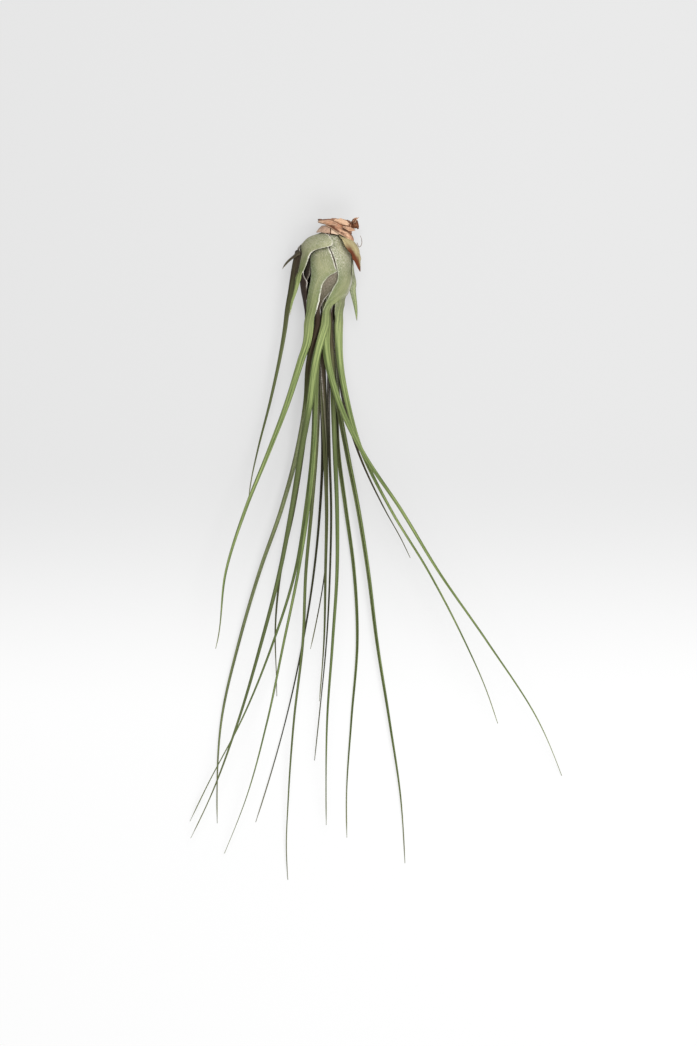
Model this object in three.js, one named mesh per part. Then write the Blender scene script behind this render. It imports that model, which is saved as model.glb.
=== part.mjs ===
// Tillandsia disticha: one loose air plant, lying on a flat surface.
// Millimetres, +Z up. The head rests at the origin, the leaves trail towards -Y, +X is the right side.

import * as THREE from 'three';

// The head: a swollen bulb of sheaths that narrows to a neck
const BULB_RADIUS = 13;
const BULB_WIDEST_Y = -5;
const BULB_CAP = 22;
const NECK_RADIUS = 9.9;
const NECK_START_Y = -21;
const NECK_Y = -26;
const SHOULDER_Y = -2;
const AXIS_HEIGHT = 12.2;
const AXIS_X = 0.45;
const AXIS_LEAN = 0.075;

// Sheaths lie in layers, counted inwards from the outside of the bulb
const LAYER_PITCH = 1.2;
const SHEATH_THICKNESS = 0.65;
const STEM_RADIUS = 2.9;
const STEM_CLEARANCE = 0.35;
const WEDGE = 13;
// A sheath's edges close in to its blade's wedge over this share of the way from shoulder to neck, and
// its section begins to turn from an arc into the blade's own section past the other share
const CLOSED_SHARE = 0.8;
const TURNING_SHARE = 0.6;

// Y places of the cross-sections of the head, the same in every layer so that the layers stay parallel
const HEAD_STATIONS = [15.2, 14.2, 12.8, 11, 9.4, 7.8, 6, 3.5, 1.2, -1.5, -4, -6, -8.5, -11.5, -15, -18.5,
  -22];

// Blades
const TIP_RADIUS = 0.31;
const BLADE_TAPER = 0.62;
const NECK_FADE = 7;
const BARE_BLADE_TOP = 4.5;
const BLADE_STEP = 11;
const DEGREE = Math.PI / 180;

// The dead end of the stem bends to the right at the top of the head: places on its middle, with radii
const STEM_WAY = [
  { at: [0.8, 4.9], radius: 1.2 },
  { at: [0.9, 7], radius: 2.4 },
  { at: [1.1, 9], radius: STEM_RADIUS },
  { at: [1.65, 16.3], radius: 2.8 },
  { at: [2.7, 17.9], radius: 2.6 },
  { at: [5.2, 18.9], radius: 2 },
  { at: [8.6, 18.9], radius: 1.5 },
  { at: [12, 18.7], radius: 1.2 },
  { at: [13, 19.3], radius: 2.2 },
  { at: [13.9, 19.7], radius: 2.1 },
  { at: [14.6, 19.9], radius: 1.1 },
];
const STEM_END_HEIGHT = 13.4;

// The papery sleeve round the dead end of the stem: places from its pointed left end to its right end,
// its radius across and deep, and where its front edge lies round it, in degrees from straight up
const HUSK_THICKNESS = 0.7;
const HUSK_BACK = 150;
const HUSK_WAY = [
  { at: [-3.4, 20.7], across: 1.1, deep: 1.6, front: -40 },
  { at: [-0.8, 20.1], across: 1.7, deep: 3.2, front: -25 },
  { at: [2.4, 19.3], across: 2.8, deep: 4.4, front: -20 },
  { at: [5.4, 19.2], across: 2.9, deep: 4.2, front: -40 },
  { at: [8, 18.4], across: 3.3, deep: 3.9, front: -75 },
  { at: [10.4, 17.7], across: 3.4, deep: 3.6, front: -80 },
];
// How far the torn ends stick out at each point round the sleeve
const HUSK_TEETH = [0.2, 1.4, 0, 1, -0.3, 0.8, -0.2];

// The tan dried sheath over the top of the head: rows of Y, its two edges in degrees and its radius, and
// the Y where it ends at each point round it
const DRIED_ROWS = [[19, -80, -5, 4], [17.6, -80, 14, 5.2], [16.2, -80, 34, 6.1], [14.7, -80, 46, 7]];
const DRIED_FOOT = [15.9, 15.7, 15.9, 15.7, 15.3, 15.2, 14.8, 14.7];

// A thin dead root that curls from the dried bract
const ROOT_WAY = [[13.9, 11.3, 13.6], [14.9, 9.4, 14.2], [15.9, 10.3, 14.8], [16.1, 12.2, 15.2],
  [15.4, 14.4, 15.4]];

// Materials
const green = new THREE.MeshStandardMaterial({ color: 0x7f9460, roughness: 0.75, metalness: 0 });
const dark = new THREE.MeshStandardMaterial({ color: 0x4f5a3c, roughness: 0.75, metalness: 0 });
const purple = new THREE.MeshStandardMaterial({ color: 0x5d4a52, roughness: 0.75, metalness: 0 });
const papery = new THREE.MeshStandardMaterial({ color: 0xc8965f, roughness: 0.9, metalness: 0 });
const woody = new THREE.MeshStandardMaterial({ color: 0x96683f, roughness: 0.9, metalness: 0 });

// Long leaves. clasp is how far the sheath goes round the bulb, in degrees from straight up towards +X.
// slot is where the blade leaves the neck, across and up from the axis. way lists the blade's middle
// from the neck to the tip. width is the blade's width past the neck and what the neck adds to it.
const LONG_LEAVES = [
  // left front, the wide sheath in the middle of the head
  { name: 'leaf_01', layer: 1, slot: [-6.2, 3.8], width: [2.7, 2.3], material: green,
    flat: [[-26, 0.46], [-60, 1]], face: -38,
    edges: [[10, -49, -1], [5.9, -49, 9], [0, -40, 20], [-2, -38, 23], [-3.6, -36, 10], [-6, -36, -1],
      [-10, -43, -9], [-16.5, -61, -15], [-20, -69, -20], [-26, -72, -26]],
    way: [[-42, -11.3, 17.4], [-60, -17, 21], [-82, -25.3, 25], [-109, -36.1, 27.5], [-136, -44.6, 28],
      [-168, -48.6, 26.4], [-171, -49.3, 26]] },
  // its dark neighbour, seen between the two front sheaths
  { name: 'leaf_02', layer: 2, clasp: [-38, 46], slot: [-2.1, 4.5], width: [2.7, 0.1], wedge: 9,
    material: purple,
    way: [[-42, -7.6, 15], [-60, -9, 11.8], [-82, -12.9, 8.6], [-109, -20.3, 6], [-136, -29.8, 4],
      [-168, -39.2, 2.4], [-204, -47.3, 1.4], [-240, -49.3, 0.7], [-250.5, -49.2, 0.31]] },
  // front right, the sheath that bulges on the right
  { name: 'leaf_03', layer: 1, slot: [1.1, 7.2], width: [2.8, 1.2], material: green,
    edges: [[10, 3, 108], [5.9, 12.5, 108], [0, 22.5, 102], [-3.5, 26.5, 76], [-6, 26, 50], [-8.5, 20, 36],
      [-11, 15, 31], [-15.5, 5, 25], [-20, -3, 20], [-26, -5, 22]],
    way: [[-42, -4.6, 22.5], [-60, -7, 26], [-82, -10.9, 30], [-109, -15.3, 32], [-136, -20.5, 32],
      [-168, -28.8, 28], [-204, -39.5, 20], [-239, -52.5, 10], [-257, -61.1, 5]] },
  // left back
  { name: 'leaf_04', layer: 1, slot: [-6.6, -1.4], width: [2.2, 0.8], material: purple,
    edges: [[5, -120, -66], [-2.5, -120, -64], [-7, -116, -46], [-13, -112, -56], [-18, -112, -72],
      [-26, -115, -92]],
    way: [[-42, -7.2, 7.5], [-60, -7.9, 7.3], [-82, -10.4, 7.8], [-109, -14.6, 7.8], [-136, -20.3, 6.8],
      [-164, -22.9, 5], [-183, -22.4, 3.8], [-193, -22.1, 3.2]] },
  // middle of the fan
  { name: 'leaf_05', layer: 4.6, clasp: [-86, -40], slot: [-3.1, 1.5], width: [2.1, 0.2], material: green,
    way: [[-42, -4.1, 13.6], [-60, -5, 15.6], [-82, -6.1, 18], [-109, -9.2, 19.5], [-136, -13.7, 20],
      [-168, -23.6, 18.5], [-204, -38.3, 12.5], [-232, -53, 6], [-249.5, -61.5, 1]] },
  { name: 'leaf_06', layer: 4.6, clasp: [-34, 18], slot: [0.1, 2.7], width: [2.1, 0.1], material: green,
    way: [[-42, -3.6, 17.1], [-60, -4.5, 19.4], [-82, -5.3, 22.4], [-109, -7.9, 24.6],
      [-136, -12.2, 25.2], [-168, -18.8, 24], [-204, -26.4, 19], [-240, -36.4, 10], [-264, -45.8, 3]] },
  { name: 'leaf_07', layer: 4.6, clasp: [-146, -98], slot: [-3.2, -1.9], width: [2.1, 0.4], material: green,
    way: [[-42, -4.1, 10.3], [-60, -3.6, 11.2], [-82, -4.4, 12.4], [-109, -6.5, 13], [-136, -9, 12.6],
      [-168, -10.4, 11], [-204, -14.5, 8.5], [-240, -17.1, 5], [-262, -17.9, 2], [-276, -17.2, 0.8]] },
  // thin leaves behind
  { name: 'leaf_08', layer: 2, clasp: [-140, -45], slot: [-3.6, -5.6], width: [1.5, 0.6], material: dark,
    way: [[-42, -3, 4.9], [-60, -2.1, 4], [-82, -1.6, 3.2], [-109, -2.8, 2.6], [-136, -5.4, 2.1],
      [-168, -10.4, 1.7], [-204, -18.3, 1.2], [-240, -28.6, 0.7], [-250, -31.8, 0.31]] },
  { name: 'leaf_09', layer: 0, clasp: null, slot: [0.4, 0.4], width: [1.8, 0.4], material: green,
    way: [[-42, -0.5, 13.2], [-60, -0.4, 14.6], [-82, 0.1, 16], [-109, 0.5, 17], [-136, -0.2, 17],
      [-168, -0.9, 15.4], [-195, -3, 13]] },
  { name: 'leaf_10', layer: 4.6, clasp: [106, 152], slot: [2.6, -2], width: [1.5, 0.2], material: dark,
    way: [[-42, 1.3, 9.4], [-60, 1.1, 9], [-82, 1.5, 8.2], [-109, 2.3, 7.2], [-136, 1.8, 6.2],
      [-168, 0.2, 5], [-201, -3, 3.5], [-222, -5.3, 2.5]] },
  { name: 'leaf_11', layer: 4.6, clasp: [160, 206], slot: [-0.3, -2.2], width: [1.2, 0.2], material: dark,
    way: [[-42, -0.9, 10], [-60, 0, 11.2], [-82, 0.5, 12], [-109, 0.5, 12], [-136, -0.5, 11.3],
      [-158, -4.1, 10.2], [-171.5, -7, 9.4]] },
  { name: 'leaf_12', layer: 4.6, clasp: [46, 92], slot: [3.1, 1.2], width: [2.4, 0.2], material: green,
    way: [[-42, 2.7, 14.3], [-60, 3.2, 16.5], [-82, 4, 19], [-109, 5, 21], [-136, 5, 21.5],
      [-168, 3, 20.5], [-204, 0.5, 17], [-233, 0, 11], [-251, 0.1, 6]] },
  // along the surface, under the neck
  { name: 'leaf_13', layer: 2, clasp: [130, 212], slot: [0.5, -6.8], width: [2.3, 0.4], material: green,
    way: [[-42, 1.4, 3.5], [-60, 4, 2.8], [-82, 5.4, 2.4], [-109, 9, 1.9], [-136, 12.6, 1.6],
      [-168, 14.1, 1.3], [-204, 11.4, 1], [-240, 9.2, 0.7], [-257, 9.4, 0.31]] },
  { name: 'leaf_14', layer: 0, thick: 1.4, clasp: [125, 235], slot: [3.9, -5.6], width: [2.6, 0.4],
    sides: 12, material: green,
    way: [[-42, 3.9, 6.6], [-60, 5.4, 7], [-82, 9.3, 7], [-109, 14.6, 6.4], [-136, 18.9, 5.5],
      [-168, 22.9, 4.4], [-204, 28.6, 3], [-240, 33.8, 1.5], [-268.5, 35.6, 0.31]] },
  // right side
  { name: 'leaf_15', layer: 3, clasp: [-2, 74], slot: [3.7, 4.3], width: [2.3, 1.3], material: green,
    way: [[-42, 1.4, 19], [-60, 5.7, 24], [-82, 15.8, 30], [-109, 33.6, 34], [-136, 50, 35],
      [-168, 72.2, 31], [-204, 95.6, 14], [-229, 106.4, 0.31]] },
  { name: 'leaf_16', layer: [[-5, 2.3], [-9, 1]], slot: [7.2, 1.9], width: [2.2, 2.2], material: green,
    flat: [[-26, 0.7], [-60, 1]], face: 58,
    edges: [[0, 62, 121], [-5.5, 58, 118], [-8.5, 40, 112], [-11, 34, 106], [-15.5, 28.5, 101],
      [-20, 33, 97], [-26, 43, 95]],
    way: [[-42, 6.3, 15.4], [-60, 9.5, 19], [-82, 15.8, 23.5], [-109, 29.1, 26.5], [-136, 45.6, 27],
      [-168, 62.3, 23], [-188, 71.3, 17], [-205, 77.2, 11]] },
  { name: 'leaf_17', layer: 3, clasp: [85, 152], slot: [5.9, -3], width: [1.8, 0.6], material: purple,
    way: [[-42, 5.5, 10], [-60, 7.9, 12], [-82, 14.2, 14.5], [-109, 26.6, 15.6], [-122, 33.8, 15],
      [-130.5, 37.8, 14.2]] },
];

// Leaves and bracts that leave the head above the neck. shoulder and neck are the Y places where the
// sheath begins to narrow and where the blade has its own shape. flat is thickness over width.
const SHORT_LEAVES = [
  // the long thin leaf on the far left
  { name: 'leaf_18', layer: 0, clasp: [-123, -113], slot: [-12.8, 0], width: [2.5, 2.3], material: purple,
    shoulder: 14, neck: 5, flat: 0.5, face: -30, wedge: 7,
    way: [[0.5, -13.7, 11.9], [-5, -14.8, 11.8], [-11, -15.9, 11.2], [-17, -17.1, 10.6],
      [-28, -18.6, 10], [-59, -24.9, 9.4], [-82, -30.8, 8.6], [-96, -33.8, 8], [-103, -34.8, 7.6]] },
  // the short outermost leaf, a hood over the top left of the head
  { name: 'short_leaf_front', slot: [-12.5, 6.9], width: [2.6, 0.8],
    layer: [[16, 0], [15.2, -0.45], [14.2, -1.9], [12.8, -2.5], [11, -2.6], [8.5, -2], [6, -1.2], [1, -1]],
    edges: [[15.6, -86, -24], [14.6, -86, -6], [13.2, -86, 4], [11, -86, 9], [9.4, -87, 6], [8.6, -85, -10],
      [7.6, -76, -27], [6, -69, -38], [0.2, -66, -44], [-5, -68, -52]],
    material: green, shoulder: 5, neck: -5, flat: 0.45, face: -42,
    way: [[-11, -13.8, 18.8], [-15.5, -15.2, 18.2], [-21.4, -16.2, 17.4]] },
  { name: 'short_leaf_right', layer: [[12, 1], [9, 0]], clasp: [110, 122], slot: [12.9, -3.6],
    width: [2.5, 0.9], material: green, shoulder: 10, neck: -4, flat: 0.7,
    way: [[-11, 12.7, 9], [-18, 13.4, 9.2], [-23.5, 13.9, 9.4]] },
  { name: 'short_bract_left', layer: [[14.6, 0], [13, -1.5], [11, -2.7], [9, -3.2], [7.5, -2.8]],
    edges: [[14, -109, -94], [10, -109, -93], [8.8, -109, -72], [7.9, -109, -66], [6.8, -107, -88]],
    slot: [-13.8, 1.5], width: [2.6, 0.9], material: purple, shoulder: 11, neck: 6,
    flat: 0.45, face: -35,
    way: [[3.6, -16.2, 14.8], [-0.6, -19.6, 14.4]] },
  { name: 'dried_bract', layer: [[14.8, 0], [14.2, -0.6], [12.8, -2.2], [11, -2.7], [8.5, -2.9], [6, -2.6]],
    edges: [[14.8, 40, 86], [13, 33, 86], [10, 34, 88], [7.5, 40, 91], [5, 47, 91]],
    slot: [13, 5], width: [4, 1.6],
    material: papery, shoulder: 12, neck: 4, flat: 0.3, face: 45,
    way: [[1, 14.6, 16.6], [-1.8, 15.3, 16]] },
];

const smoothstep = (from, to, value) => THREE.MathUtils.smoothstep((value - from) / (to - from), 0, 1);
const mix = THREE.MathUtils.lerp;

function axisX(y) {
  return AXIS_X + AXIS_LEAN * y;
}

// Outer radius of the head: half an ellipse above the widest place, a half cosine down to the neck.
function bulbRadius(y) {
  const up = y - BULB_WIDEST_Y;
  if (up > 0) return BULB_RADIUS * Math.sqrt(Math.max(0, 1 - (up / BULB_CAP) ** 2));
  const share = Math.min(1, up / (NECK_START_Y - BULB_WIDEST_Y));
  return mix(NECK_RADIUS, BULB_RADIUS, (1 + Math.cos(Math.PI * share)) / 2);
}

// The Y place where a layer of sheaths reaches the stem.
function layerTop(layer, thickness) {
  const radius = STEM_RADIUS + STEM_CLEARANCE + thickness + layer * LAYER_PITCH;
  return BULB_WIDEST_Y + BULB_CAP * Math.sqrt(1 - (radius / BULB_RADIUS) ** 2);
}

function roundAxis(y, radius, turn) {
  const angle = turn * DEGREE;
  return new THREE.Vector3(axisX(y) + radius * Math.sin(angle), y, AXIS_HEIGHT + radius * Math.cos(angle));
}

// A smooth curve through rows that start with Y, from the head down: one of their other columns at a Y.
// Its pieces are cubics whose slopes are those of the parabola through each row and its neighbours, or
// held back, where level is true, so that the curve never swings past a row.
function along(rows, column, y, level = false) {
  const last = rows.length - 1;
  if (y >= rows[0][0]) return rows[0][column];
  if (y <= rows[last][0]) return rows[last][column];
  const step = (i) => rows[i][0] - rows[i + 1][0];
  const slope = (i) => (rows[i + 1][column] - rows[i][column]) / step(i);
  const rowSlope = (i) => {
    if (last === 1) return slope(0);
    if (i === 0) return level ? 0 : slope(0) * 1.5 - rowSlope(1) * 0.5;
    if (i === last) return level ? 0 : slope(last - 1) * 1.5 - rowSlope(last - 1) * 0.5;
    const [before, after] = [slope(i - 1), slope(i)];
    const between = (before * step(i) + after * step(i - 1)) / (step(i - 1) + step(i));
    if (!level) return between;
    if (before * after <= 0) return 0;
    return Math.sign(between) * Math.min(Math.abs(between), 2 * Math.abs(before), 2 * Math.abs(after));
  };
  let k = 0;
  while (y < rows[k + 1][0]) k += 1;
  const t = (rows[k][0] - y) / step(k);
  return (1 + 2 * t) * (1 - t) ** 2 * rows[k][column] + t * (1 - t) ** 2 * step(k) * rowSlope(k)
    + t * t * (3 - 2 * t) * rows[k + 1][column] + t * t * (t - 1) * step(k) * rowSlope(k + 1);
}

const isSheathed = (leaf) => Boolean(leaf.clasp || leaf.edges);
const layerAt = (leaf, y) => (Array.isArray(leaf.layer) ? along(leaf.layer, 1, y, true) : leaf.layer);

// The direction of a leaf's slot round the axis, in the same turn as its sheath.
function slotTurn(leaf) {
  const side = Math.atan2(leaf.slot[0], leaf.slot[1]) / DEGREE;
  const edges = leaf.clasp ?? leaf.edges?.[0].slice(1);
  return edges ? side + 360 * Math.round(((edges[0] + edges[1]) / 2 - side) / 360) : side;
}

// One cross-section of a leaf at a given Y: half its points on the outer side, half on the inner side.
function leafSection(leaf, y) {
  const { slot, width, sides = 10, wedge = WEDGE } = leaf;
  const flat = Array.isArray(leaf.flat) ? along(leaf.flat, 1, y, true) : leaf.flat ?? 1;
  const thickness = leaf.thick ?? SHEATH_THICKNESS;
  const shoulder = leaf.shoulder ?? SHOULDER_Y;
  const neck = leaf.neck ?? NECK_Y;
  const half = sides / 2;
  const turn = slotTurn(leaf);
  const reach = Math.hypot(slot[0], slot[1]);
  const neckPlace = roundAxis(neck, reach, turn);
  const way = [[neck, neckPlace.x, neckPlace.z], ...leaf.way];

  const far = Math.max(0, (neck - y) / (neck - way[way.length - 1][0]));
  const bladeWidth = width[0] * (1 - far) ** BLADE_TAPER + width[1] * Math.exp(-NECK_FADE * far);
  const radius = Math.max(TIP_RADIUS, bladeWidth / 2);
  const middle = y > neck
    ? roundAxis(y, reach + bulbRadius(y) - bulbRadius(neck), turn)
    : new THREE.Vector3(along(way, 1, y), y, along(way, 2, y));
  const face = (leaf.face ?? turn) * DEGREE;
  const swelling = isSheathed(leaf) ? smoothstep(mix(shoulder, neck, TURNING_SHARE), neck, y) : 1;
  const outside = bulbRadius(y) - layerAt(leaf, y) * LAYER_PITCH;

  let edges = leaf.clasp;
  if (leaf.edges) {
    edges = [along(leaf.edges, 1, y, true), along(leaf.edges, 2, y, true)];
  } else if (leaf.clasp) {
    const narrowing = smoothstep(shoulder, mix(shoulder, neck, CLOSED_SHARE), y);
    edges = [mix(leaf.clasp[0], turn - wedge, narrowing), mix(leaf.clasp[1], turn + wedge, narrowing)];
  }

  const points = [];
  for (let i = 0; i < sides; i += 1) {
    const round = (i - (half - 1) / 2) * (180 / half) * DEGREE;
    const across = Math.sin(round) * radius;
    const out = Math.max(TIP_RADIUS, radius * flat) * Math.cos(round);
    const x = middle.x + out * Math.sin(face) + across * Math.cos(face);
    const z = middle.z + out * Math.cos(face) - across * Math.sin(face);
    const point = new THREE.Vector3(x, y, z);
    if (edges) {
      const share = i < half ? i / (half - 1) : (sides - 1 - i) / (half - 1);
      const rim = roundAxis(y, i < half ? outside : outside - thickness, mix(edges[0], edges[1], share));
      point.lerpVectors(rim, point, swelling);
    }
    point.z = Math.max(point.z, 0);
    points.push(point);
  }
  return points;
}

// A closed body through cross-sections that all have their points in the same order.
function loft(sections) {
  const sides = sections[0].length;
  const positions = [];
  const corner = (p) => positions.push(p.x, p.y, p.z);
  const triangle = (a, b, c) => [a, b, c].forEach(corner);
  for (let k = 0; k + 1 < sections.length; k += 1) {
    for (let i = 0; i < sides; i += 1) {
      const j = (i + 1) % sides;
      triangle(sections[k][i], sections[k + 1][i], sections[k + 1][j]);
      triangle(sections[k][i], sections[k + 1][j], sections[k][j]);
    }
  }
  const first = sections[0];
  const last = sections[sections.length - 1];
  for (let i = 0; i + 1 < sides / 2; i += 1) {
    const j = sides - 1 - i;
    triangle(first[i], first[i + 1], first[j - 1]);
    triangle(first[i], first[j - 1], first[j]);
    triangle(last[i], last[j - 1], last[i + 1]);
    triangle(last[i], last[j], last[j - 1]);
  }
  const geometry = new THREE.BufferGeometry();
  geometry.setAttribute('position', new THREE.Float32BufferAttribute(positions, 3));
  geometry.computeVertexNormals();
  return geometry;
}

// Y places of a leaf's cross-sections: close together on the sheath, further apart along the blade.
function leafStations(leaf) {
  const neck = leaf.neck ?? NECK_Y;
  const layer = Array.isArray(leaf.layer) ? leaf.layer[0][1] : leaf.layer;
  const top = isSheathed(leaf) ? layerTop(layer, leaf.thick ?? SHEATH_THICKNESS) : BARE_BLADE_TOP;
  const tip = leaf.way[leaf.way.length - 1][0];
  const stations = [top, ...HEAD_STATIONS.filter((y) => y < top - 0.4 && y > neck + 1), neck];
  const bladeSteps = Math.max(3, Math.ceil((neck - tip) / BLADE_STEP));
  for (let i = 1; i <= bladeSteps; i += 1) stations.push(mix(neck, tip, i / bladeSteps));
  return stations;
}

// The stem: round sections across a path that lies in a level plane inside the head and rises a little
// at its dead end.
function stemGeometry() {
  const sides = 10;
  const sections = STEM_WAY.map(({ at, radius }, k) => {
    const before = STEM_WAY[Math.max(k - 1, 0)].at;
    const after = STEM_WAY[Math.min(k + 1, STEM_WAY.length - 1)].at;
    const heading = Math.atan2(after[1] - before[1], after[0] - before[0]);
    const height = mix(AXIS_HEIGHT, STEM_END_HEIGHT, smoothstep(15, 20, at[1]));
    const points = [];
    for (let i = 0; i < sides; i += 1) {
      const round = (i / sides) * 2 * Math.PI;
      const across = radius * Math.cos(round);
      const x = at[0] + across * Math.sin(heading);
      const y = at[1] - across * Math.cos(heading);
      points.push(new THREE.Vector3(x, y, height + radius * Math.sin(round)));
    }
    return points;
  });
  return loft(sections);
}

// The husk: open half-round sections along its way, each a thin band, with torn teeth at both ends.
function huskGeometry() {
  const count = HUSK_TEETH.length;
  const last = HUSK_WAY.length - 1;
  const sections = HUSK_WAY.map(({ at, across, deep, front }, k) => {
    const tooth = (i) => (k === 0 ? -HUSK_TEETH[i] : 0) + (k === last ? HUSK_TEETH[count - 1 - i] : 0);
    const place = (i, inset) => {
      const round = mix(front, HUSK_BACK, i / (count - 1)) * DEGREE;
      const y = at[1] + (across - inset) * Math.sin(round);
      const z = STEM_END_HEIGHT + (deep - inset) * Math.cos(round);
      return new THREE.Vector3(at[0] + tooth(i), y, z);
    };
    const outer = HUSK_TEETH.map((_, i) => place(i, 0));
    const inner = HUSK_TEETH.map((_, i) => place(i, HUSK_THICKNESS));
    return [...outer, ...inner.reverse()];
  });
  return loft(sections);
}

// The dried sheath: a cone-shaped band outside the head, which ends in a torn, slanting edge.
function driedSheathGeometry() {
  const rows = DRIED_ROWS.length;
  const count = DRIED_FOOT.length;
  const sections = DRIED_ROWS.map((_, k) => {
    const place = (i, inset) => {
      const y = mix(DRIED_ROWS[0][0], DRIED_FOOT[i], k / (rows - 1));
      const turn = mix(along(DRIED_ROWS, 1, y), along(DRIED_ROWS, 2, y), i / (count - 1));
      return roundAxis(y, along(DRIED_ROWS, 3, y) - inset, turn);
    };
    const outer = DRIED_FOOT.map((_, i) => place(i, 0));
    const inner = DRIED_FOOT.map((_, i) => place(i, SHEATH_THICKNESS));
    return [...outer, ...inner.reverse()];
  });
  return loft(sections);
}

// The root hair: a thin tube, level sections turned with its path.
function rootGeometry() {
  const curve = new THREE.CatmullRomCurve3(ROOT_WAY.map((place) => new THREE.Vector3(...place)));
  const sides = 6;
  const steps = 14;
  const sections = [];
  for (let k = 0; k <= steps; k += 1) {
    const at = curve.getPointAt(k / steps);
    const ahead = curve.getTangentAt(k / steps);
    const across = new THREE.Vector3(ahead.y, -ahead.x, 0).normalize();
    const up = new THREE.Vector3().crossVectors(across, ahead);
    const points = [];
    for (let i = 0; i < sides; i += 1) {
      const round = (i / sides) * 2 * Math.PI;
      const point = at.clone().addScaledVector(across, TIP_RADIUS * Math.cos(round));
      points.push(point.addScaledVector(up, TIP_RADIUS * Math.sin(round)));
    }
    sections.push(points);
  }
  return loft(sections);
}

const plant = new THREE.Group();

function addPiece(name, geometry, material) {
  const mesh = new THREE.Mesh(geometry, material);
  mesh.name = name;
  plant.add(mesh);
}

for (const leaf of [...LONG_LEAVES, ...SHORT_LEAVES]) {
  const sections = leafStations(leaf).map((y) => leafSection(leaf, y));
  addPiece(leaf.name, loft(sections), leaf.material);
}

addPiece('stem', stemGeometry(), woody);
addPiece('dried_husk', huskGeometry(), papery);
addPiece('dried_sheath', driedSheathGeometry(), papery);
addPiece('root_hair', rootGeometry(), woody);

export default plant;
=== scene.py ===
"""Looks of a loose air plant, tillandsia disticha, lying on a pale surface.

Every leaf is one surface worked out on a grid: its rows run from the top of the sheath to the tip, its
columns run once round the leaf. Sizes are in millimetres and turns in degrees until the mesh is made. +Y
is the stem end and +Z is up, towards the camera. A turn round the head's axis is counted from straight up
towards +X.
"""

import bpy
import numpy as np
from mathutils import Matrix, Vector


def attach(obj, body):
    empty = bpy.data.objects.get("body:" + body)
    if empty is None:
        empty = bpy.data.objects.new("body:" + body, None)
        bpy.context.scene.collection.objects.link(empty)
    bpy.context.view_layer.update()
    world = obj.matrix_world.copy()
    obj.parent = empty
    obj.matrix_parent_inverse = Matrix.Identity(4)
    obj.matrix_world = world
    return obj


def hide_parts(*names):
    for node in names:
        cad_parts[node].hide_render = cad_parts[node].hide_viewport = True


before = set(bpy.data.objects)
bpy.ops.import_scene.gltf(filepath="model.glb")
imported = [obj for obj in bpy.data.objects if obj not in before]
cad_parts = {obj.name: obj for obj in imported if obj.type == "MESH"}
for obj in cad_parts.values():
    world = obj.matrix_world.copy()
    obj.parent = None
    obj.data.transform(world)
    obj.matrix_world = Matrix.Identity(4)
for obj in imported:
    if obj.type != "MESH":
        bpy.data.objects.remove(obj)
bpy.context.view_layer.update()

MM = 0.001

# The photograph: its size in pixels, the pixel that is X = 0 and Y = 0, and the real size of a pixel
PHOTO_WIDTH = 697
PHOTO_HEIGHT = 1046
ORIGIN_COLUMN = 326
ORIGIN_ROW = 268
PIXEL = 0.45

# The head: a swollen bulb of sheaths round a leaning axis, which narrows to a neck
BULB_RADIUS = 13
BULB_WIDEST_Y = -5
BULB_CAP = 22
HEAD_TOP_Y = BULB_WIDEST_Y + BULB_CAP
NECK_RADIUS = 9.9
NECK_START_Y = -21
NECK_Y = -26
AXIS_HEIGHT = 12.2
AXIS_X = 0.45
AXIS_LEAN = 0.075
STEM_RADIUS = 2.9
STEM_CLEARANCE = 0.35

# The sheaths: the step between layers, the wall, where a leaf starts that has no sheath, and two places as
# shares of the way from shoulder to neck: where a clasp is narrowed, and where the blade begins
LAYER_PITCH = 1.2
SHEATH_THICKNESS = 0.65
BARE_LEAF_TOP_Y = 4.5
NARROWED = 0.8
BLADE_BEGINS = 0.6

# The blades: how fast the width falls to the tip and its extra at the neck fades, and the solids' tips
BLADE_TAPER = 0.62
NECK_FADE = 7
TIP_RADIUS = 0.31

# The noise that makes things uneven: how many waves it has, how far each one's pace strays from its
# number, and what their sum is divided by, to stay between about -1 and 1. Below, what is uneven is told
# by rows of size and pace, with a second pace for the other way.
RIPPLE_WAVES = 7
RIPPLE_STRAY = (0.8, 1.3)
RIPPLE_PEAK = 1.6

# Finer than the solids: the sheath's thin rim, which waves and is jagged, its veins and its low swells
RIM_THICKNESS = 0.16
RIM_BAND = 1.1
RIM_SINK = 0.12
RIM_WAVES = [(0.14, 0.6)]
RIM_JAGS = [(0.05, 5)]
VEIN_PITCH = 0.7
VEIN_RELIEF = 0.014
VEIN_SWAY = [(1.5, 0.4, 0.06)]
SWELLS = [(0.12, 0.25, 0.2)]

# Finer than the solids too: the turn of a blade's lips where its groove is open and where it has closed,
# the groove's depth for the blade's radius, and the thread at its tip. The groove starts to close, and the
# thread to thin, at a share of the blade's length.
LIP_TURN = 138
CLOSED_LIP_TURN = 90
GROOVE_DEPTH = 1.05
GROOVE_CLOSES = 0.85
THREAD_RADIUS = 0.27
THREAD_THINNING = 0.6
THREAD_START = 0.965

# The grid: the length of a row on the sheath and on the blade. The pattern's own map has 10 mm to a unit,
# and its inner faces lie beside its outer ones.
SHEATH_ROW = 0.5
BLADE_ROW = 1.3
MAP_SCALE = 0.1
INNER_FACE_SHIFT = 60

# Looks across a leaf, in millimetres from its edge: pale margin, painted shade beside the edge, and painted
# shade in the hollow of the groove
MARGIN_FULL = 0.2
MARGIN_WIDTH = 0.8
EDGE_SHADE_BAND = (0.3, 5)
GROOVE_SHADE_EDGE = 0.35

# How much of the pale margin is left: about its middle, uneven where it is worn, and the least of it
MARGIN_MIDDLE = 0.75
MARGIN_WEAR = [(0.5, 0.5, 3)]
MARGIN_LEAST = 0.1
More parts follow.
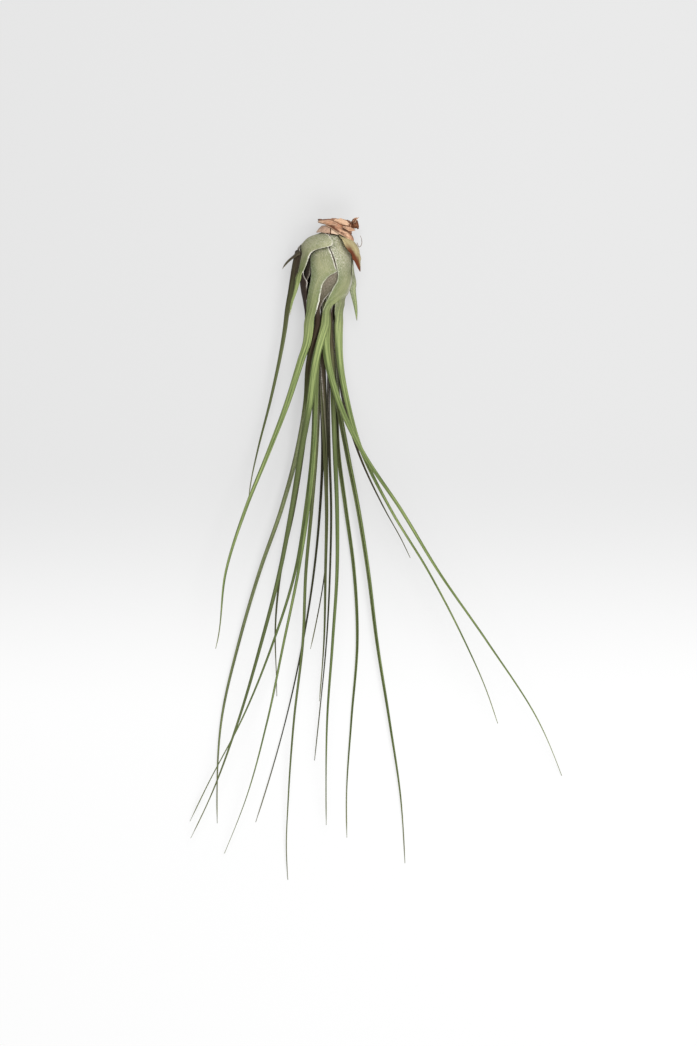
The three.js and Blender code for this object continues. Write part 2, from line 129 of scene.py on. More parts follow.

# Looks along a leaf: how far over the shoulder or under the neck the sheath's green, its painted edge shade
# and the pale margins start and end to fade, the share of the blade where the dry tip starts, and how much
# darker
# the green gets between two Y places: just below the neck this is painted shade among the bunched blades, and
# farther down the green only gets darker
SHEATH_FADE = (2, -12)
EDGE_SHADE_FADE = (12, -6)
MARGIN_FADE = (-5, -60)
DRY_TIP_START = 0.8
SHADE_AND_DEEPENING = [(0.3, -28, -52), (0.2, -70, -200)]

# The scorched left side of a dried bract: the shares of the width that it takes, at two Y places, its
# uneven and soft border, and the Y places between which it starts
SCORCH_SHARE = (0.36, 0.8)
SCORCH_SPREAD = (9.5, 1)
SCORCH_WANDER = [(0.1, 0.8)]
SCORCH_BORDER = 0.25
SCORCH_START = (12, 7)

# What each leaf is told by. Rows start with Y, from the top down, and a pair is for the left and right.
#   slot: the blade's middle at the neck, in X and Z from the head's axis. way: rows of X and Z past it.
#   width: the part of the blade's width that lasts, and the part that fades behind the neck.
#   layer: how many layers into the head the sheath lies, one number or rows.
#   clasp: the turns of the sheath's two edges, which narrow to wedge either side of the slot's turn.
#   edges: rows of those two turns instead, where they follow a line of their own.
#   shoulder and neck: the Y where the sheath starts to narrow, and where it is all blade.
#   thick: the sheath's wall. flat: the blade's depth for its width, one number or rows.
#   face: the turn that the blade's outer side faces, if not its slot's. roll: rows added to that turn.
#   fine: half the number of columns.
#   stain_and_shade, frost and deep: how purple or brown, how scurfy and how dark, one number or rows. The
#   stain is partly the leaf's own purple or brown and partly painted shade where leaves lie deep in the
#   bundle at the neck and in crevices; the dark is partly the leaf's own deeper green and partly painted
#   shade.
#   rims: how pale its edges are. rim_width and rim_end: how wide the right one is, and where it fades.
#   edge_shade: painted shade that darkens the sheath beside its edges. scorch: how burnt its left side is.
#   finish: its material.
ORDINARY_LEAF = dict(wedge=13, shoulder=-2, neck=NECK_Y, thick=SHEATH_THICKNESS, flat=1,
                     roll=[(0, 0), (-1, 0)], fine=18, stain_and_shade=0, frost=0.04, deep=0, rims=(0.4, 0.4),
                     rim_width=MARGIN_WIDTH, edge_shade=(0.3, 0.3), scorch=0, finish="leaf_green")
LEAVES = [
    dict(name="leaf_01", layer=1, slot=(-6.2, 3.8), width=(2.7, 2.7), flat=[(-26, 0.46), (-60, 1)],
         face=-38, fine=48, rims=(0.1, 1), edge_shade=(0.9, 0.5),
         frost=[(8, 0.6), (4, 0.35), (-8, 0.28), (-20, 0.12), (-50, 0.05)],
         stain_and_shade=[(10, 0.16), (3, 0.12), (-3, 0)],
         edges=[(10, -49, -1), (5.9, -49, 9), (0, -40, 20), (-2, -38, 23), (-3.6, -36, 10),
                (-6, -36, -1), (-10, -43, -9), (-16.5, -61, -15), (-20, -69, -20), (-26, -72, -26)],
         way=[(-33, -8.4, 16.7), (-42, -11.3, 17.4), (-60, -17, 21), (-82, -25.3, 25), (-109, -36.1, 27.5),
              (-136, -44.6, 28), (-168, -48.6, 26.4), (-171, -49.3, 26)]),
    dict(name="leaf_02", layer=2, clasp=(-38, 46), slot=(-2.1, 4.5), width=(2.7, 0.1), wedge=9,
         fine=32, deep=[(-26, 0.5), (-58, 0.5), (-72, 0)],
         stain_and_shade=[(14, 0.25), (4, 0.4), (-6, 0.35), (-12, 0.6), (-17, 0.95), (-26, 1), (-45, 0.85),
                (-65, 0.1), (-80, 0)],
         frost=[(-4, 0.45), (-12, 0.3), (-18, 0.08), (-26, 0), (-58, 0), (-72, 0.3), (-250, 0.1)],
         roll=[(-26, 0), (-50, -40), (-72, 15), (-250, 20)],
         finish="leaf_purple",
         way=[(-42, -7.6, 15), (-60, -9, 11.8), (-82, -12.9, 8.6), (-109, -20.3, 6),
              (-136, -29.8, 4), (-168, -39.2, 2.4), (-204, -47.3, 1.4), (-240, -49.3, 0.7),
              (-250.5, -49.2, 0.31)]),
    dict(name="leaf_03", layer=[(16, 1.3), (10.8, 1.35), (9.2, 0.9), (6, 0.8), (0, 1)], slot=(1.1, 7.2),
         width=(2.8, 1.2), fine=48, rims=(0.35, 0.9), edge_shade=(0.7, 0),
         frost=[(13, 1), (10, 0.85), (7, 1), (3, 0.85), (-3, 0.45), (-10, 0.2), (-50, 0.05)],
         rim_end=(-10.5, -15), rim_width=6.5, deep=[(-58, 0), (-72, 0.9), (-257, 0.7)],
         stain_and_shade=[(-58, 0), (-72, 0.3), (-257, 0.25)],
         edges=[(10, 3, 108), (5.9, 12.5, 108), (0, 22.5, 102), (-3.5, 26.5, 97), (-6, 26, 94),
                (-8.5, 20, 90), (-11, 15, 84), (-13.3, 10, 66), (-15.5, 5, 39), (-17, 2.5, 26),
                (-20, -3, 20), (-26, -5, 22)],
         way=[(-42, -4.6, 22.5), (-60, -7, 26), (-82, -10.9, 30), (-109, -15.3, 32),
              (-136, -20.5, 32), (-168, -28.8, 28), (-204, -39.5, 20), (-239, -52.5, 10),
              (-257, -61.1, 5)]),
    dict(name="leaf_04", layer=1, slot=(-6.6, -1.4), width=(2.2, 0.8), fine=28, rims=(0.3, 1), deep=0.6,
         stain_and_shade=[(0, 1), (-40, 0.9), (-90, 0.6), (-190, 0.5)], frost=[(0, 0.08), (-20, 0.03)],
         rim_end=(-7, -11),
         edges=[(5, -120, -66), (-2.5, -120, -64), (-7, -116, -46), (-13, -112, -56),
                (-18, -112, -67), (-26, -115, -84)],
         finish="leaf_purple",
         way=[(-42, -7.2, 7.5), (-60, -7.9, 7.3), (-82, -10.4, 7.8), (-109, -14.6, 7.8),
              (-136, -20.3, 6.8), (-164, -22.9, 5), (-183, -22.4, 3.8), (-193, -22.1, 3.2)]),
    dict(name="leaf_05", layer=4.6, clasp=(-86, -40), slot=(-4.7, 1.5), width=(2.1, 0.2), deep=0.5,
         stain_and_shade=[(-26, 0.7), (-60, 0.3), (-120, 0.1)], roll=[(-26, 0), (-70, 60), (-249, 80)],
         way=[(-42, -5.6, 13.6), (-60, -5.2, 15.6), (-82, -6.1, 18), (-109, -9.2, 19.5),
              (-136, -13.7, 20), (-168, -23.6, 18.5), (-204, -38.3, 12.5), (-232, -53, 6),
              (-249.5, -61.5, 1)]),
    dict(name="leaf_06", layer=4.6, clasp=(-34, 18), slot=(0.1, 2.7), width=(2.1, 0.1), deep=0.35,
         stain_and_shade=[(-26, 0.6), (-60, 0.15), (-120, 0)], roll=[(-26, 0), (-80, -70), (-264, -90)],
         way=[(-42, -3.6, 17.1), (-60, -4.5, 19.4), (-82, -5.3, 22.4), (-109, -7.9, 24.6),
              (-136, -12.2, 25.2), (-168, -18.8, 24), (-204, -26.4, 19), (-240, -36.4, 10),
              (-264, -45.8, 3)]),
    dict(name="leaf_07", layer=4.6, clasp=(-146, -98), slot=(-3.2, -1.9), width=(2.1, 0.4), deep=0.6,
         stain_and_shade=[(-26, 1), (-80, 0.6), (-150, 0.25)],
         way=[(-42, -4.1, 10.3), (-60, -3.6, 11.2), (-82, -4.4, 12.4), (-109, -6.5, 13),
              (-136, -9, 12.6), (-168, -10.4, 11), (-204, -14.5, 8.5), (-240, -17.1, 5),
              (-262, -17.9, 2), (-276, -17.2, 0.8)]),
    dict(name="leaf_08", layer=2, clasp=(-140, -45), slot=(-3.6, -5.6), width=(1.5, 0.6), deep=0.8,
         stain_and_shade=[(-26, 1), (-120, 0.7), (-250, 0.5)],
         finish="leaf_dark",
         way=[(-42, -3, 4.9), (-60, -2.1, 4), (-82, -1.6, 3.2), (-109, -2.8, 2.6),
              (-136, -5.4, 2.1), (-168, -10.4, 1.7), (-204, -18.3, 1.2), (-240, -28.6, 0.7),
              (-250, -31.8, 0.31)]),
    dict(name="leaf_09", layer=0, slot=(0.1, 0.4), width=(2.4, 0.6), deep=0.7,
         stain_and_shade=[(-26, 1), (-100, 0.6), (-195, 0.4)], roll=[(-26, 0), (-60, 120), (-195, 150)],
         way=[(-42, -1.5, 13.2), (-60, -1.3, 14.6), (-82, -0.5, 16), (-109, 0.3, 17),
              (-136, -0.2, 17), (-168, -0.9, 15.4), (-195, -3, 13)]),
    dict(name="leaf_10", layer=4.6, clasp=(106, 152), slot=(2.6, -2), width=(1.5, 0.2), deep=0.8,
         stain_and_shade=[(-26, 1), (-120, 0.5)],
         finish="leaf_dark",
         way=[(-42, 1.3, 9.4), (-60, 1.1, 9), (-82, 1.5, 8.2), (-109, 2.3, 7.2),
              (-136, 1.8, 6.2), (-168, 0.2, 5), (-201, -3, 3.5), (-222, -5.3, 2.5)]),
    dict(name="leaf_11", layer=4.6, clasp=(160, 206), slot=(-0.3, -2.2), width=(1.2, 0.2), deep=0.8,
         stain_and_shade=[(-26, 1), (-120, 0.6)],
         finish="leaf_dark",
         way=[(-42, -0.9, 10), (-60, 0, 11.2), (-82, 0.5, 12), (-109, 0.5, 12),
              (-136, -0.5, 11.3), (-158, -4.1, 10.2), (-171.5, -7, 9.4)]),
    dict(name="leaf_12", layer=4.6, clasp=(46, 92), slot=(3.1, 1.2), width=(2.4, 0.2),
         deep=[(-60, 0.4), (-90, 0.9), (-130, 0.6)],
         stain_and_shade=[(-26, 1), (-60, 0.4), (-120, 0.1)], roll=[(-26, 0), (-80, -60), (-251, -90)],
         way=[(-42, 2.7, 14.3), (-60, 3.2, 16.5), (-82, 4, 19), (-109, 5, 21),
              (-136, 5, 21.5), (-168, 3, 20.5), (-204, 0.5, 17), (-233, 0, 11),
              (-251, 0.1, 6)]),
    dict(name="leaf_13", layer=2, clasp=(130, 212), slot=(0.5, -6.8), width=(2.3, 0.4),
         deep=[(-80, 0.6), (-100, 0.2)], stain_and_shade=[(-26, 1), (-80, 0.55), (-100, 0.1), (-180, 0)],
         way=[(-42, 1.4, 3.5), (-60, 4, 2.8), (-82, 5.4, 2.4), (-109, 9, 1.9),
              (-136, 12.6, 1.6), (-168, 14.1, 1.3), (-204, 11.4, 1), (-240, 9.2, 0.7),
              (-257, 9.4, 0.31)]),
    dict(name="leaf_14", layer=0, thick=1.4, clasp=(125, 235), slot=(3.9, -5.6), deep=0.35,
         width=(2.6, 0.4), fine=28, stain_and_shade=[(-26, 0.6), (-70, 0.25), (-150, 0.1)],
         way=[(-42, 3.9, 6.6), (-60, 5.4, 7), (-82, 9.3, 7), (-109, 14.6, 6.4),
              (-136, 18.9, 5.5), (-168, 22.9, 4.4), (-204, 28.6, 3), (-240, 33.8, 1.5),
              (-268.5, 35.6, 0.31)]),
    dict(name="leaf_15", layer=3, clasp=(-2, 74), slot=(1.7, 4.6), width=(2.5, 1.7), fine=28, deep=0.15,
         stain_and_shade=[(-18, 0.6), (-24, 0.35), (-34, 0.05), (-50, 0)], roll=[(-26, 0), (-100, 50), (-229, 60)],
         way=[(-33, 0, 17.6), (-42, 0.8, 19), (-50, 2.6, 21.3), (-60, 5.7, 24),
              (-82, 15.8, 30), (-109, 33.6, 34), (-136, 50, 35), (-168, 72.2, 31),
              (-204, 95.6, 14), (-229, 106.4, 0.31)]),
    dict(name="leaf_16", layer=[(-5, 2.4), (-10, 2.2), (-12.5, 1.7), (-14.5, 1.5), (-17, 1)],
         slot=(7.2, 1.9), width=(2.2, 2.2), flat=[(-26, 0.7), (-60, 1)], face=58,
         fine=36, rims=(0.3, 1), edge_shade=(0.5, 0),
         roll=[(-26, -20), (-42, -20), (-60, 0), (-205, 0)],
         frost=[(-5, 0.5), (-12, 0.4), (-26, 0.15), (-60, 0.05)], stain_and_shade=[(0, 0.14), (-14, 0.14), (-22, 0)],
         edges=[(0, 62, 121), (-5.5, 58, 118), (-8.5, 40, 112), (-11, 34, 106),
                (-15.5, 34, 101), (-20, 34, 97), (-26, 43, 95)],
         way=[(-42, 6.3, 15.4), (-60, 9.5, 19), (-82, 15.8, 23.5), (-109, 29.1, 26.5),
              (-136, 45.6, 27), (-168, 62.3, 23), (-188, 71.3, 17), (-205, 77.2, 11)]),
    dict(name="leaf_17", layer=3, clasp=(85, 152), slot=(5.9, -3), width=(1.8, 0.6), deep=0.7,
         stain_and_shade=[(-26, 1), (-80, 0.8), (-130, 0.6)],
         finish="leaf_purple",
         way=[(-42, 5.5, 10), (-60, 7.9, 12), (-82, 14.2, 14.5), (-109, 26.6, 15.6),
              (-122, 33.8, 15), (-130.5, 37.8, 14.2)]),
    dict(name="leaf_18", layer=0, clasp=(-123, -113), slot=(-12.8, 0), width=(2.5, 2.3),
         shoulder=16, neck=7.5, flat=0.5, face=-30, wedge=7, rims=(0.9, 0.5), deep=0.5,
         stain_and_shade=[(12, 1), (2, 0.95), (-10, 0.65), (-30, 0.35), (-60, 0.15)],
         frost=[(12, 0.04), (-60, 0.08)],
         finish="leaf_purple",
         way=[(0.5, -13.7, 11.9), (-5, -14.8, 11.8), (-11, -15.9, 11.2), (-17, -17.1, 10.6),
              (-28, -18.6, 10), (-59, -24.9, 9.4), (-82, -30.8, 8.6), (-96, -33.8, 8),
              (-103, -34.8, 7.6)]),
    dict(name="short_leaf_front", slot=(-12.5, 6.9), width=(2.6, 0.8),
         layer=[(16, 0), (15.2, -0.45), (14.2, -1.9), (12.8, -2.5), (11, -2.6), (8.5, -2), (6, -1.2),
                (1, -1)], shoulder=5, neck=-5, flat=0.45, face=-42, fine=48, rims=(0.5, 0.9),
         edge_shade=(0.15, 0), frost=[(15, 0.7), (11, 0.6), (6, 0.3), (-4, 0.08), (-20, 0.05)],
         edges=[(15.6, -86, -24), (14.6, -86, -6), (13.2, -86, 4), (11, -86, 9), (9.4, -87, 6),
                (8.6, -85, -10), (7.6, -76, -27), (6, -69, -38), (0.2, -66, -44), (-5, -68, -52)],
         way=[(-11, -13.8, 18.8), (-15.5, -15.2, 18.2), (-21.4, -16.2, 17.4)]),
    dict(name="short_leaf_right", layer=[(12, 1), (8, 0.5), (4, 0.3), (0, 0.4), (-5, 0)],
         edges=[(12, 110, 122), (8, 106, 122), (4, 88, 121), (1, 74, 119), (-4, 68, 114), (-9, 68, 108)],
         slot=(12.1, -3.6), width=(3.2, 0.4), face=35, deep=0.25,
         shoulder=10, neck=-9, flat=0.5, rims=(0.1, 0.6), frost=[(8, 0.9), (-10, 0.5), (-20, 0.2)],
         way=[(-11, 12.2, 8.6), (-18, 13.4, 9), (-23.5, 13.85, 9.4)]),
    dict(name="short_bract_left", layer=[(14.6, 0), (13, -1.5), (11, -2.7), (9, -3.2), (7.5, -2.8)],
         edges=[(14, -109, -94), (11, -109, -90), (9.6, -109, -80), (8.4, -109, -70), (7.2, -108, -67),
                (5.8, -104, -74)],
         slot=(-13.8, 1.5), width=(2.6, 0.9), shoulder=11, neck=6, flat=0.45, face=-35, rims=(1, 1),
         deep=0.6, stain_and_shade=[(12, 0.7), (0, 0.75)], frost=[(12, 0.1), (0, 0.05)],
         finish="leaf_purple",
         way=[(3.6, -16.2, 14.8), (-0.6, -19.6, 14.4)]),
    dict(name="dried_bract", slot=(13, 5),
         edges=[(14.8, 40, 86), (13, 33, 86), (10, 34, 88), (7.5, 40, 91), (5, 47, 91)],
         layer=[(14.8, 0), (14.2, -0.6), (12.8, -2.2), (11, -2.7), (8.5, -2.9), (6, -2.6)],
         width=(4, 1.6), shoulder=12, neck=4, flat=0.3, face=45, fine=36, rims=(0, 0.6),
         stain_and_shade=[(8, 0), (3, 0.1), (0.5, 0.5), (-1.8, 1)], scorch=1,
         finish="papery",
         way=[(1, 14.6, 16.6), (-1.8, 15.3, 16)]),
]

# The dead end of the stem: X, Y and radius at places on it, from inside the head to its right end. It
# rises from the head's axis to its own height between two Y places, and has low knobs.
STEM_WAY = [(0.8, 4.9, 1.2), (0.9, 7, 2.4), (1.1, 9, 2.9), (1.65, 16.3, 2.8), (2.7, 17.9, 2.6),
            (5.2, 18.9, 2), (8.6, 18.9, 1.5), (12, 18.7, 1.2), (13, 19.3, 2.2), (13.9, 19.7, 2.1),
            (14.6, 19.9, 1.1)]
STEM_END_HEIGHT = 13.4
STEM_RISE = (15, 20)
STEM_KNOBS = 0.22
STEM_ROWS = 90
STEM_COLUMNS = 48

# The curled dead root: X, Y and Z at places on it, and its radius at its foot and at its end
ROOT_WAY = [(13.9, 11.3, 13.6), (14.9, 9.4, 14.2), (15.9, 10.3, 14.8), (16.1, 12.2, 15.2),
            (15.4, 14.4, 15.4)]
ROOT_RADIUS = (0.2, 0.1)
ROOT_KNOBS = 0.015
ROOT_ROWS = 80
ROOT_COLUMNS = 12

# The knobs of a stem or root, as a share of their height
KNOBS = [(1, 1.1, 3)]
LONG_KNOBS = [(1, 0.8, 3)]

# Dry paper: its wall, the worn pale edge, the brown where the noise is high, and how brown its inside is
PAPER_WALL = 0.24
PAPER_EDGE = (0.05, 0.4)
PAPER_EDGE_PALE = 0.7
PAPER_BROWN = (-0.7, 0.5)
PAPER_BROWN_NOISE = [(1, 1.2, 0.45)]
PAPER_INSIDE_BROWN = 0.35

# The papery sleeve round the stem: X, Y, radius across and deep at places along it, and the turn of its
# front edge, then the turn of its back edge. Past its ends it goes straight on, by so many millimetres for
# each place. The last two say how long a place is in the sleeve's map and in its brown noise.
HUSK_WAY = [(-3.4, 20.7, 1.1, 1.6, -40), (-0.8, 20.1, 1.7, 3.2, -25), (2.4, 19.3, 2.8, 4.4, -20),
            (5.4, 19.2, 2.9, 4.2, -40), (8, 18.4, 3.3, 3.9, -75), (10.4, 17.7, 3.4, 3.6, -80)]
HUSK_BACK = 150
HUSK_PAST_START = 3.2
HUSK_PAST_END = 3
HUSK_PLACE_LENGTH = 3.2
HUSK_BROWN_LENGTH = 3

# Sheets of the sleeve: from and to along it, its turns where they aren't the sleeve's own, how far it
# stands off, how torn its ends are, and how brown it is
HUSK_SHEETS = [
    dict(reach=(0, 5.1), turns=None, lift=0, torn=0.1, brown=0.8),
    dict(reach=(4.4, 5.35), turns=(-80, 60), lift=0.25, torn=0.1, brown=0.9),
]

# The sleeve's unevenness: how far its turns sway, how near its ends, in places, it is torn and curled, its
# tears, its wrinkles and its curl, then its grid
HUSK_SWAY = [(4, 3)]
HUSK_END = 0.9
HUSK_TEARS = [(1, 16), (0.7, 47)]
HUSK_WRINKLES = [(0.22, 2.2, 0.13), (0.1, 7, 0.3)]
HUSK_CURL = [(0.5, 7)]
HUSK_ROWS = 90
HUSK_HALF = 48

# Loose papery strips of the husk: X, Y, Z, width and tilt along each, its crown as a share of its width,
# how brown it is and how pale; the lobe's paleness is partly its own colour and partly a painted highlight
STRIPS = [
    dict(name="husk_point", crown=0.3, brown=0.4, pale=0.15,
         way=[(-3.5, 20.75, 16, 0.4, 0), (-1, 20.5, 16.8, 1.3, 0), (1.6, 20.2, 17.8, 2, 5),
              (3.4, 19.8, 18, 1.8, 10), (5, 19.3, 18, 0.8, 12)]),
    dict(name="husk_lobe", crown=0.3, brown=0.12, pale=0.7,
         way=[(3.6, 21.3, 17.4, 0.6, -10), (5.2, 21.1, 18, 1.6, -8), (7, 20.7, 18.3, 2.4, -5),
              (8.8, 20, 18.2, 2.2, 0), (10.3, 19.3, 17.8, 0.9, 5)]),
    dict(name="husk_fold", crown=0.22, brown=0.85, pale=0,
         way=[(-0.2, 19.6, 17, 0.7, 15), (2.6, 18.5, 18, 1.9, 18), (5.4, 17, 18.2, 2.8, 20),
              (7.6, 15.6, 18, 3, 22), (9.6, 14.6, 17.4, 3, 28), (11.2, 13.6, 16.4, 2.5, 34),
              (12.3, 12.3, 15.4, 0.9, 38)]),
    dict(name="husk_inner", crown=0.25, brown=0.5, pale=0.3,
         way=[(7.6, 18.2, 18.2, 0.6, 0), (9.4, 17.7, 18.1, 1.5, 5), (11.4, 17.1, 17.4, 1.6, 15),
              (13, 16.9, 16.2, 0.6, 20)]),
    dict(name="husk_curl", crown=0.35, brown=0.85, pale=0,
         way=[(12, 20.2, 16.2, 1.2, 0), (12.7, 21.2, 16.6, 1.9, 10), (13.4, 21.9, 16.4, 1.2, 20),
              (14.5, 22.4, 16, 0.35, 30)]),
]

# A strip's unevenness: its outline as a share of its width, its crinkles, and its torn ends, which start
# at a share of the way from its middle
STRIP_OUTLINE = [(0.1, 4)]
STRIP_CRINKLE = [(0.1, 3, 9)]
STRIP_TEAR = [(0.35, 11)]
STRIP_END = 0.75

# How long a place along a strip is in its brown noise and in its map
STRIP_BROWN_LENGTH = 4
STRIP_PLACE_LENGTH = 3

# The grid of a strip: its rows, and half its columns
STRIP_ROWS = 70
STRIP_HALF = 20

# The dried sheath over the top of the head: rows of Y, the turns of its two sides, and radius, then the Y
# where it ends at places round it
DRIED_ROWS = [(19, -80, -5, 4), (17.6, -80, 14, 5.2), (16.2, -80, 34, 6.1), (14.7, -80, 46, 7)]
DRIED_FOOT = [15.9, 15.7, 15.9, 15.7, 15.3, 15.2, 14.8, 14.7]

# Its two parts, either side of a crack: their turns, how brown and how pale they are, and their seeds. The
# right part's paleness is a painted highlight
DRIED_PARTS = [
    dict(name="dried_sheath_left", start=-90, end=0.5, brown=0.3, pale=0, seed=5),
    dict(name="dried_sheath_right", start=6, end=90, brown=0, pale=0.7, seed=8),
]

# Its unevenness: how far its turns sway, its torn foot and its wrinkles, then how much longer than in Y it
# is in its brown noise, and its grid
DRIED_SWAY = [(0.6, 1.5)]
DRIED_TEARS = [(0.12, 0.12), (0.07, 0.5)]
DRIED_WRINKLES = [(0.06, 1.5, 0.1)]
DRIED_BROWN_LENGTH = 2
DRIED_GRID_ROWS = 70
DRIED_HALF = 56

# Seeds of the noise on the other pieces. A leaf's seed comes from its name, and each noise of a piece adds
# its own number to the piece's seed.
SHEET_SEED = 20
STRIP_SEED = 70
SEED_STEP = 10
STEM_SEED = 90
ROOT_SEED = 95

# Patterns of the leaves, as noises. With squeeze, which is how much closer they are round and along the
# leaf, they follow its surface.
STREAKS = dict(squeeze=(8, 0.25), scale=1.6, detail=3)
NERVES = dict(squeeze=(21, 0.7), scale=1.0, detail=2, rough=0.6)
FLECKS = dict(squeeze=(27, 12), scale=1.0, detail=3, rough=0.75)
BREAKS = dict(squeeze=(9, 22), scale=1.0, detail=3, rough=0.7)
PATCHES = dict(scale=70, detail=3)
GRAIN = dict(scale=1900, detail=1)

# Patterns of dry paper and dead wood
PAPER_FIBRES = dict(squeeze=(22, 1.4), scale=1.0, detail=4, rough=0.6)
PAPER_STREAKS = dict(squeeze=(4.5, 0.9), scale=1.0, detail=3, rough=0.6)
PAPER_PATCHES = dict(scale=160, detail=3)
WOOD_FIBRES = dict(squeeze=(10, 2.5), scale=1.0, detail=4, rough=0.6)
WOOD_PITS = dict(scale=420, detail=3, rough=0.6)

# How a noise is followed: the two values it is followed between, and what comes out at each
TWO_TONES = (0.35, 0.65, 0, 1)
NERVE_LINES = (0.48, 0.68, 0, 0.5)
STAIN_AND_SHADE_MOTTLE = (0.35, 0.6, 0.8, 1)
SCURF_FLECKS = (0.42, 0.62, 0.2, 1)
SCURF_GRAIN = (0.35, 0.6, 0.6, 1)
RIM_BREAKS = (0.36, 0.56, 0.15, 1)
LEAF_ROUGHNESS = (0.3, 0.7, 0.6, 0.85)
PAPER_STREAK_LINES = (0.52, 0.68, 0, 0.45)
PAPER_PALE_PATCHES = (0.5, 0.75, 0, 0.4)
PAPER_ROUGHNESS = (0.3, 0.7, 0.55, 0.8)
WOOD_DARK_PITS = (0.55, 0.7, 0, 0.7)
WOOD_ROUGHNESS = (0.3, 0.7, 0.6, 0.85)

# The shares in which two patterns are added
MOTTLE_SHARES = (0.5, 0.5)
LEAF_HEIGHT_SHARES = (0.5, 0.4)
PAPER_HEIGHT_SHARES = (0.6, 0.4)

# Finishes: the painted shade in the groove, its colour between purple and deep green and how strong it is,
# the dry tip, the paper's pale margin, the relief of each, the sheen and the gloss
GROOVE_SHADE_GREEN = 0.5
GROOVE_SHADE_STRENGTH = 0.6
DRY_TIP_STRENGTH = 0.45
DRY_TIP_COLOUR = "7C7A58"
PAPER_MARGIN_STRENGTH = 0.5
LEAF_RELIEF = 0.12
PAPER_RELIEF = 0.15
WOOD_RELIEF = 0.2
PAPER_SHEEN = 0.03
SHEEN_ROUGHNESS = 0.6
GLOSS = 0.16

# The floor, which glows more towards the lower edge of the photograph, between two Y places
FLOOR_SIZE = 3000
FLOOR_DEPTH = 0.2
FLOOR_GREY = (0.2, 0.2, 0.2, 1)
FLOOR_ROUGHNESS = 0.9
GLOW_BETWEEN = (-85, -205)
GLOW = (0.5, 0.7)

# Light: the white room, and square lamps with their places, what they face, their sides and their power
WHITE = (1, 1, 1, 1)
ROOM_LIGHT = 0.22
LAMPS = [
    dict(name="window", place=(200, 330, 1200), aim=(0, -80, 0), side=850, power=18),
    dict(name="front", place=(300, -750, 1200), aim=(0, -250, 0), side=800, power=11),
]

# The camera: a long lens, and the height over the floor at which a pixel has its real size
LENS = 200
SENSOR = 36
TRUE_SIZE_HEIGHT = 12


def smoothstep(start, end, value):
    """0 before start, 1 after end, and 3tt - 2ttt between them, with t the share of the way."""
    t = np.clip((value - start) / (end - start), 0, 1)
    return t * t * (3 - 2 * t)


def mix(first, second, share):
    """first + (second - first) times share."""
    return first + (second - first) * share


def along(rows, column, y, level=False):
    """One column of rows that start with a falling Y, at the places y, on a smooth curve.

    Between two rows a and b that are s apart it is (1+2t)(1-t)^2 a + t(1-t)^2 s a' + t^2(3-2t) b
    + t^2(t-1) s b'. The slopes a' and b' are those of the parabola through a row and its neighbours,
    or held back, where level is true, so that the curve never swings past a row.
    """
    rows = np.asarray(rows, float)
    place = -rows[:, 0]
    value = rows[:, column]
    step = np.diff(place)
    slope = np.diff(value) / step
    bend = np.full(len(rows), slope[0])
    if len(rows) > 2:
        middle = (slope[:-1] * step[1:] + slope[1:] * step[:-1]) / (step[:-1] + step[1:])
        if level:
            most = 2 * np.minimum(abs(slope[:-1]), abs(slope[1:]))
            middle = np.sign(middle) * np.minimum(abs(middle), most) * (slope[:-1] * slope[1:] > 0)
            bend[[0, -1]] = 0
        else:
            bend[0] = 1.5 * slope[0] - 0.5 * middle[0]
            bend[-1] = 1.5 * slope[-1] - 0.5 * middle[-1]
        bend[1:-1] = middle
    at = np.clip(-np.asarray(y, float), place[0], place[-1])
    k = np.clip(np.searchsorted(place, at, side="right") - 1, 0, len(step) - 1)
    t = (at - place[k]) / step[k]
    return ((1 + 2 * t) * (1 - t) ** 2 * value[k] + t * (1 - t) ** 2 * step[k] * bend[k]
            + t * t * (3 - 2 * t) * value[k + 1] + t * t * (t - 1) * step[k] * bend[k + 1])


def level_at(value, y):
    """A number as it is, or the second column of rows at the places y, which never swings past a row."""
    return along(value, 1, y, True) if isinstance(value, list) else value


def by_place(rows):
    """Rows with their number in the list, counted down from 0, as the first column that along reads."""
    return [(-place, *row) for place, row in enumerate(rows)]


def columns_of(rows, count):
    """Each column of a path's rows, at count even steps from its first place to its last."""
    at = np.linspace(0, len(rows) - 1, count)
    return [along(by_place(rows), column, -at) for column in range(1, len(rows[0]) + 1)]


def ripple(seed, first, second):
    """Smooth noise between about -1 and 1: the sum of seeded sine waves over two coordinates.

    Wave n is sin(pace * (first cos(heading) + second sin(heading)) + shift) / n, with a pace near n.
    """
    draw = np.random.default_rng(seed)
    total = 0.0
    for wave in range(RIPPLE_WAVES):
        pace = (wave + 1) * draw.uniform(*RIPPLE_STRAY)
        heading = draw.uniform(0, 2 * np.pi)
        shift = draw.uniform(0, 2 * np.pi)
        forward = first * np.cos(heading) + second * np.sin(heading)
        total = total + np.sin(pace * forward + shift) / (wave + 1)
    return total / RIPPLE_PEAK


def uneven(rows, seed, first, second=0.0):
    """The sum of size * ripple(first * pace, second * other pace) over the rows, with seeds that count up."""
    return sum(size * ripple(seed + number, first * paces[0], second * paces[-1])
               for number, (size, *paces) in enumerate(rows))


def unit(vectors):
    """Vectors at length 1: each over the root of the sum of its squares."""
    return vectors / np.linalg.norm(vectors, axis=1, keepdims=True)


def axis_x(y):
    """The head's axis leans: a line in Y."""
    return AXIS_X + AXIS_LEAN * y


def bulb_radius(y):
    """Half an ellipse above the widest place of the head, and half a cosine down to its neck."""
    up = np.asarray(y, float) - BULB_WIDEST_Y
    cap = BULB_RADIUS * np.sqrt(np.clip(1 - (up / BULB_CAP) ** 2, 0, 1))
    share = np.clip(up / (NECK_START_Y - BULB_WIDEST_Y), 0, 1)
    body = mix(NECK_RADIUS, BULB_RADIUS, (1 + np.cos(np.pi * share)) / 2)
    return np.where(up > 0, cap, body)


